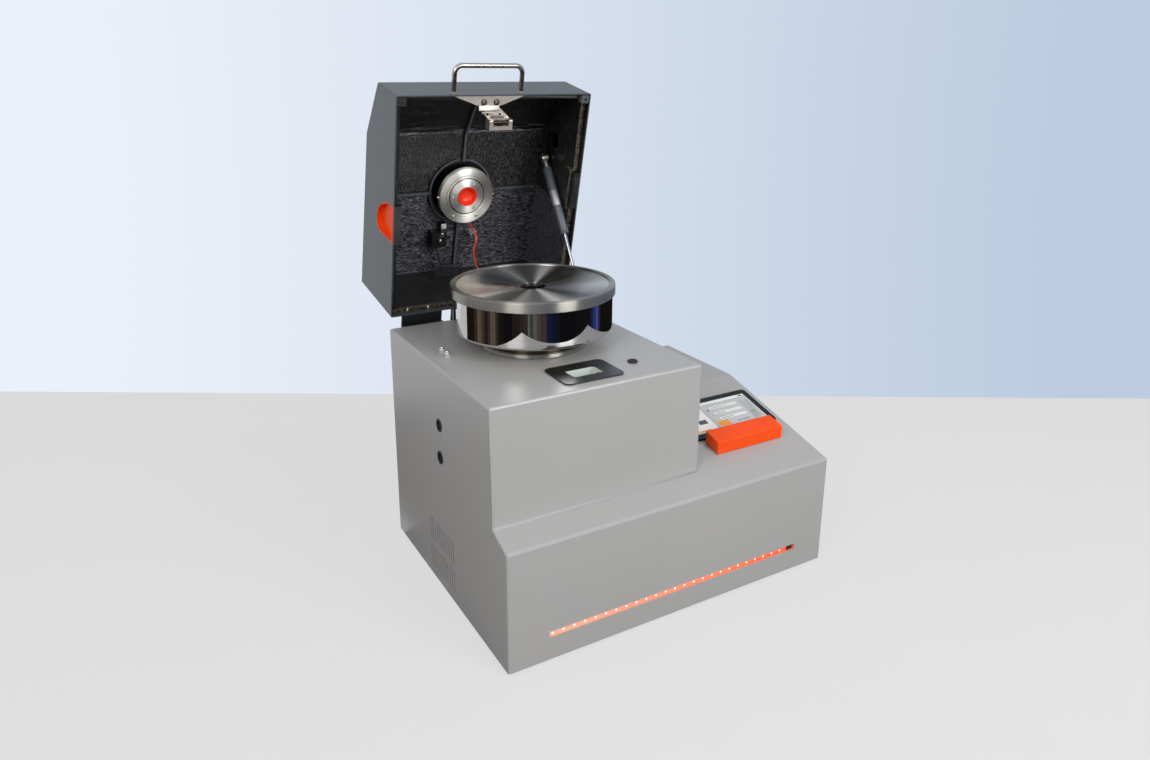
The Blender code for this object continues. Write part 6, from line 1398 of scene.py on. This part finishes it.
class MILL_OT_lines(MillOperator, bpy.types.Operator):
    """Makes the valve's details, its cables, the air hose and the bracket under them"""

    bl_idname = "mill.lines"
    bl_label = "Valve and lines"

    def execute(self, context):
        dress("valve_block", "moulded_abs_black", bevel=0.8 * mm)
        dress("hose_fitting", "moulded_polyamide_white", bevel=0.6 * mm)
        dress("cable_bracket", "black_oxide_steel", bevel=0.3 * mm)
        valve = (129.5 * mm, 333 * mm, rim + 118 * mm)
        fittings = [placed(turn([(0, 2.6 * mm), (2.2 * mm, 2.6 * mm), (3.0 * mm, 2.2 * mm), (3.4 * mm, 0), (0, 0)],
                                steps=24), (valve[0], valve[1], valve[2] - 3 * mm), "-Z"),
                    placed(hexagon_nut(4.4 * mm, 2.2 * mm, 2.4 * mm), (valve[0] + 4.5 * mm, valve[1] - 9 * mm, valve[2]),
                           "-Z")]
        add_piece("valve_nuts", gather(fittings), "nickel_plated_brass", "hood", hood)
        plug = [block((133.9 * mm, 305.4 * mm, rim + 122.6 * mm), (143.1 * mm, 314.6 * mm, rim + 125 * mm), 0.6 * mm),
                block((136 * mm, 307.4 * mm, rim + 120.2 * mm), (141 * mm, 312.6 * mm, rim + 122.8 * mm), 0.5 * mm)]
        add_piece("white_plug", gather(plug), "moulded_polyamide_white", "hood", hood)
        joint = [placed(turn([(0, 0), (4.2 * mm, 0), (4.2 * mm, 3.4 * mm), (3.0 * mm, 4.6 * mm), (0, 4.6 * mm)],
                             steps=28), (197 * mm, 330 * mm, rim + 124.2 * mm), "-Z")]
        add_piece("hose_joint", gather(joint), "nickel_plated_brass", "hood", hood)
        self.cables()
        self.hose()
        return {"FINISHED"}

    def cables(self):
        """A cable from the valve's plug to the bracket at the rear wall."""
        deck = rim + 112 * mm + 2 * mm + 1.9 * mm + 1.2 * mm
        end = 392.5 * mm
        start = Vector((129.5 * mm, 347.4 * mm, rim + 128.25 * mm))
        points = [start, start + Vector((0, 4 * mm, 0.2 * mm)), start + Vector((1.5 * mm, 9 * mm, -2 * mm)),
                  Vector((133.5 * mm, 373 * mm, (start.z + deck) / 2 - 2 * mm)),
                  Vector((137 * mm, end - 7 * mm, deck)), Vector((141 * mm, end, deck))]
        path = curve_through(points, 5)
        cable = add_piece("valve_lead", tube(path, 1.9 * mm, 14), "extruded_pvc_black", "hood", hood)
        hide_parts("valve_cable")

    def hose(self):
        """The red air hose from the clamp's ring down to the rear wall."""
        x = 188.5 * mm
        points = [Vector((x, 306.6 * mm, rim + 128 * mm)), Vector((x, 312 * mm, rim + 127 * mm)),
                  Vector((x + 3 * mm, 329 * mm, rim + 103 * mm)), Vector((x - 1.5 * mm, 352 * mm, rim + 101 * mm)),
                  Vector((x + 5.7 * mm, 381 * mm, rim + 101 * mm)), Vector((x + 11 * mm, 390 * mm, rim + 101 * mm)),
                  Vector((x + 11 * mm, 397.6 * mm, rim + 101 * mm))]
        path = curve_through(points, 6)
        hose = add_piece("red_hose", tube(path, 2.1 * mm, 16), "extruded_pu_red", "hood", hood)
        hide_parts("air_hose")


# ---------------------------------------------------------------- hinges and connections

class MILL_OT_hinges(MillOperator, bpy.types.Operator):
    """Dresses the rear hinges and the cable bridge and makes their screws"""

    bl_idname = "mill.hinges"
    bl_label = "Hinges"

    def execute(self, context):
        lower, upper = [], []
        for side, left in (("left", 24 * mm), ("right", 238 * mm)):
            dress("hinge_lower_" + side, "black_oxide_steel", bevel=0.3 * mm)
            dress("hinge_upper_" + side, "black_oxide_steel", bevel=0.3 * mm)
            for x in (left + 14 * mm, left + 54 * mm):
                lower.append(placed(button_screw(4.0 * mm, 2.2 * mm, 1.5 * mm),
                                    (x, base_depth + 3.3 * mm, hinge_z - 24 * mm), "Y"))
                upper.append(placed(button_screw(4.0 * mm, 2.2 * mm, 1.5 * mm),
                                    (x, hood_rear + 7.0 * mm, tower_top + 32 * mm), "Y"))
        add_piece("hinge_screws_lower", gather(lower), "zinc_plated_steel", "root")
        add_piece("hinge_screws_upper", gather(upper), "zinc_plated_steel", "hood", hood)
        dress("cable_bridge", "moulded_rubber_black", bevel=0.4 * mm)
        inner = [placed(button_screw(2.6 * mm, 5.0 * mm, 1.0 * mm), (x, hood_rear - 2.3 * mm, rim + 10.5 * mm), "-Y")
                 for x in (36 * mm, 71 * mm)]
        add_piece("rear_rim_screws", gather(inner), "zinc_plated_steel", "hood", hood)
        return {"FINISHED"}


class MILL_OT_connections(MillOperator, bpy.types.Operator):
    """Dresses the mains inlet, the switch and the air fitting on the rear wall"""

    bl_idname = "mill.connections"
    bl_label = "Rear connections"

    def execute(self, context):
        dress("mains_inlet", "moulded_nylon_black", bevel=0.3 * mm)
        dress("switch_rocker", "moulded_abs_black", bevel=0.4 * mm)
        dress("air_inlet", "nickel_plated_brass", bevel=0.2 * mm)
        screws = [placed(button_screw(3.2 * mm, 1.8 * mm, 1.2 * mm), (480 * mm + sign * 20 * mm,
                                                                     base_depth + 3.2 * mm, 60 * mm + 4 * mm), "Y")
                  for sign in (-1, 1)]
        add_piece("inlet_screws", gather(screws), "zinc_plated_steel", "root")
        ring = turn([(4.6 * mm, 0), (6.6 * mm, 0), (6.9 * mm, 0.5 * mm), (6.6 * mm, 1.4 * mm), (4.8 * mm, 1.6 * mm),
                     (4.4 * mm, 1.2 * mm)], (385 * mm, base_depth + 14.2 * mm, 64 * mm), 1, 32, True)
        add_piece("air_release_ring", ring, "moulded_nylon_black", "root")
        return {"FINISHED"}


# ---------------------------------------------------------------- panel and registration

operators = (
    MILL_OT_stage, MILL_OT_housing, MILL_OT_lamps, MILL_OT_display, MILL_OT_latch, MILL_OT_vibrating_unit,
    MILL_OT_vessel, MILL_OT_hood_shell, MILL_OT_hood_lining, MILL_OT_clamp, MILL_OT_striker,
    MILL_OT_gas_spring, MILL_OT_lines, MILL_OT_hinges, MILL_OT_connections,
)


class MILL_PT_panel(bpy.types.Panel):
    """Lists the steps that dress the mill, in order"""

    bl_idname = "MILL_PT_panel"
    bl_label = "Laboratory mill"
    bl_space_type = "VIEW_3D"
    bl_region_type = "UI"
    bl_category = "Mill"

    def draw(self, context):
        layout = self.layout
        for group in (context.scene.mill_sizes, context.scene.mill_colours):
            for name in group.__annotations__:
                layout.prop(group, name)
        for operator in operators:
            layout.operator(operator.bl_idname)


classes = (MillSizes, MillColours, *operators, MILL_PT_panel)


def register():
    for item in classes:
        bpy.utils.register_class(item)
    bpy.types.Scene.mill_sizes = PointerProperty(type=MillSizes)
    bpy.types.Scene.mill_colours = PointerProperty(type=MillColours)


def unregister():
    del bpy.types.Scene.mill_colours
    del bpy.types.Scene.mill_sizes
    for item in reversed(classes):
        bpy.utils.unregister_class(item)


def main():
    register()
    bpy.context.scene.view_settings.view_transform = "Standard"
    for operator in operators:
        group, name = operator.bl_idname.split(".")
        getattr(getattr(bpy.ops, group), name)()
    bpy.context.view_layer.update()


if __name__ == "__main__":
    main()
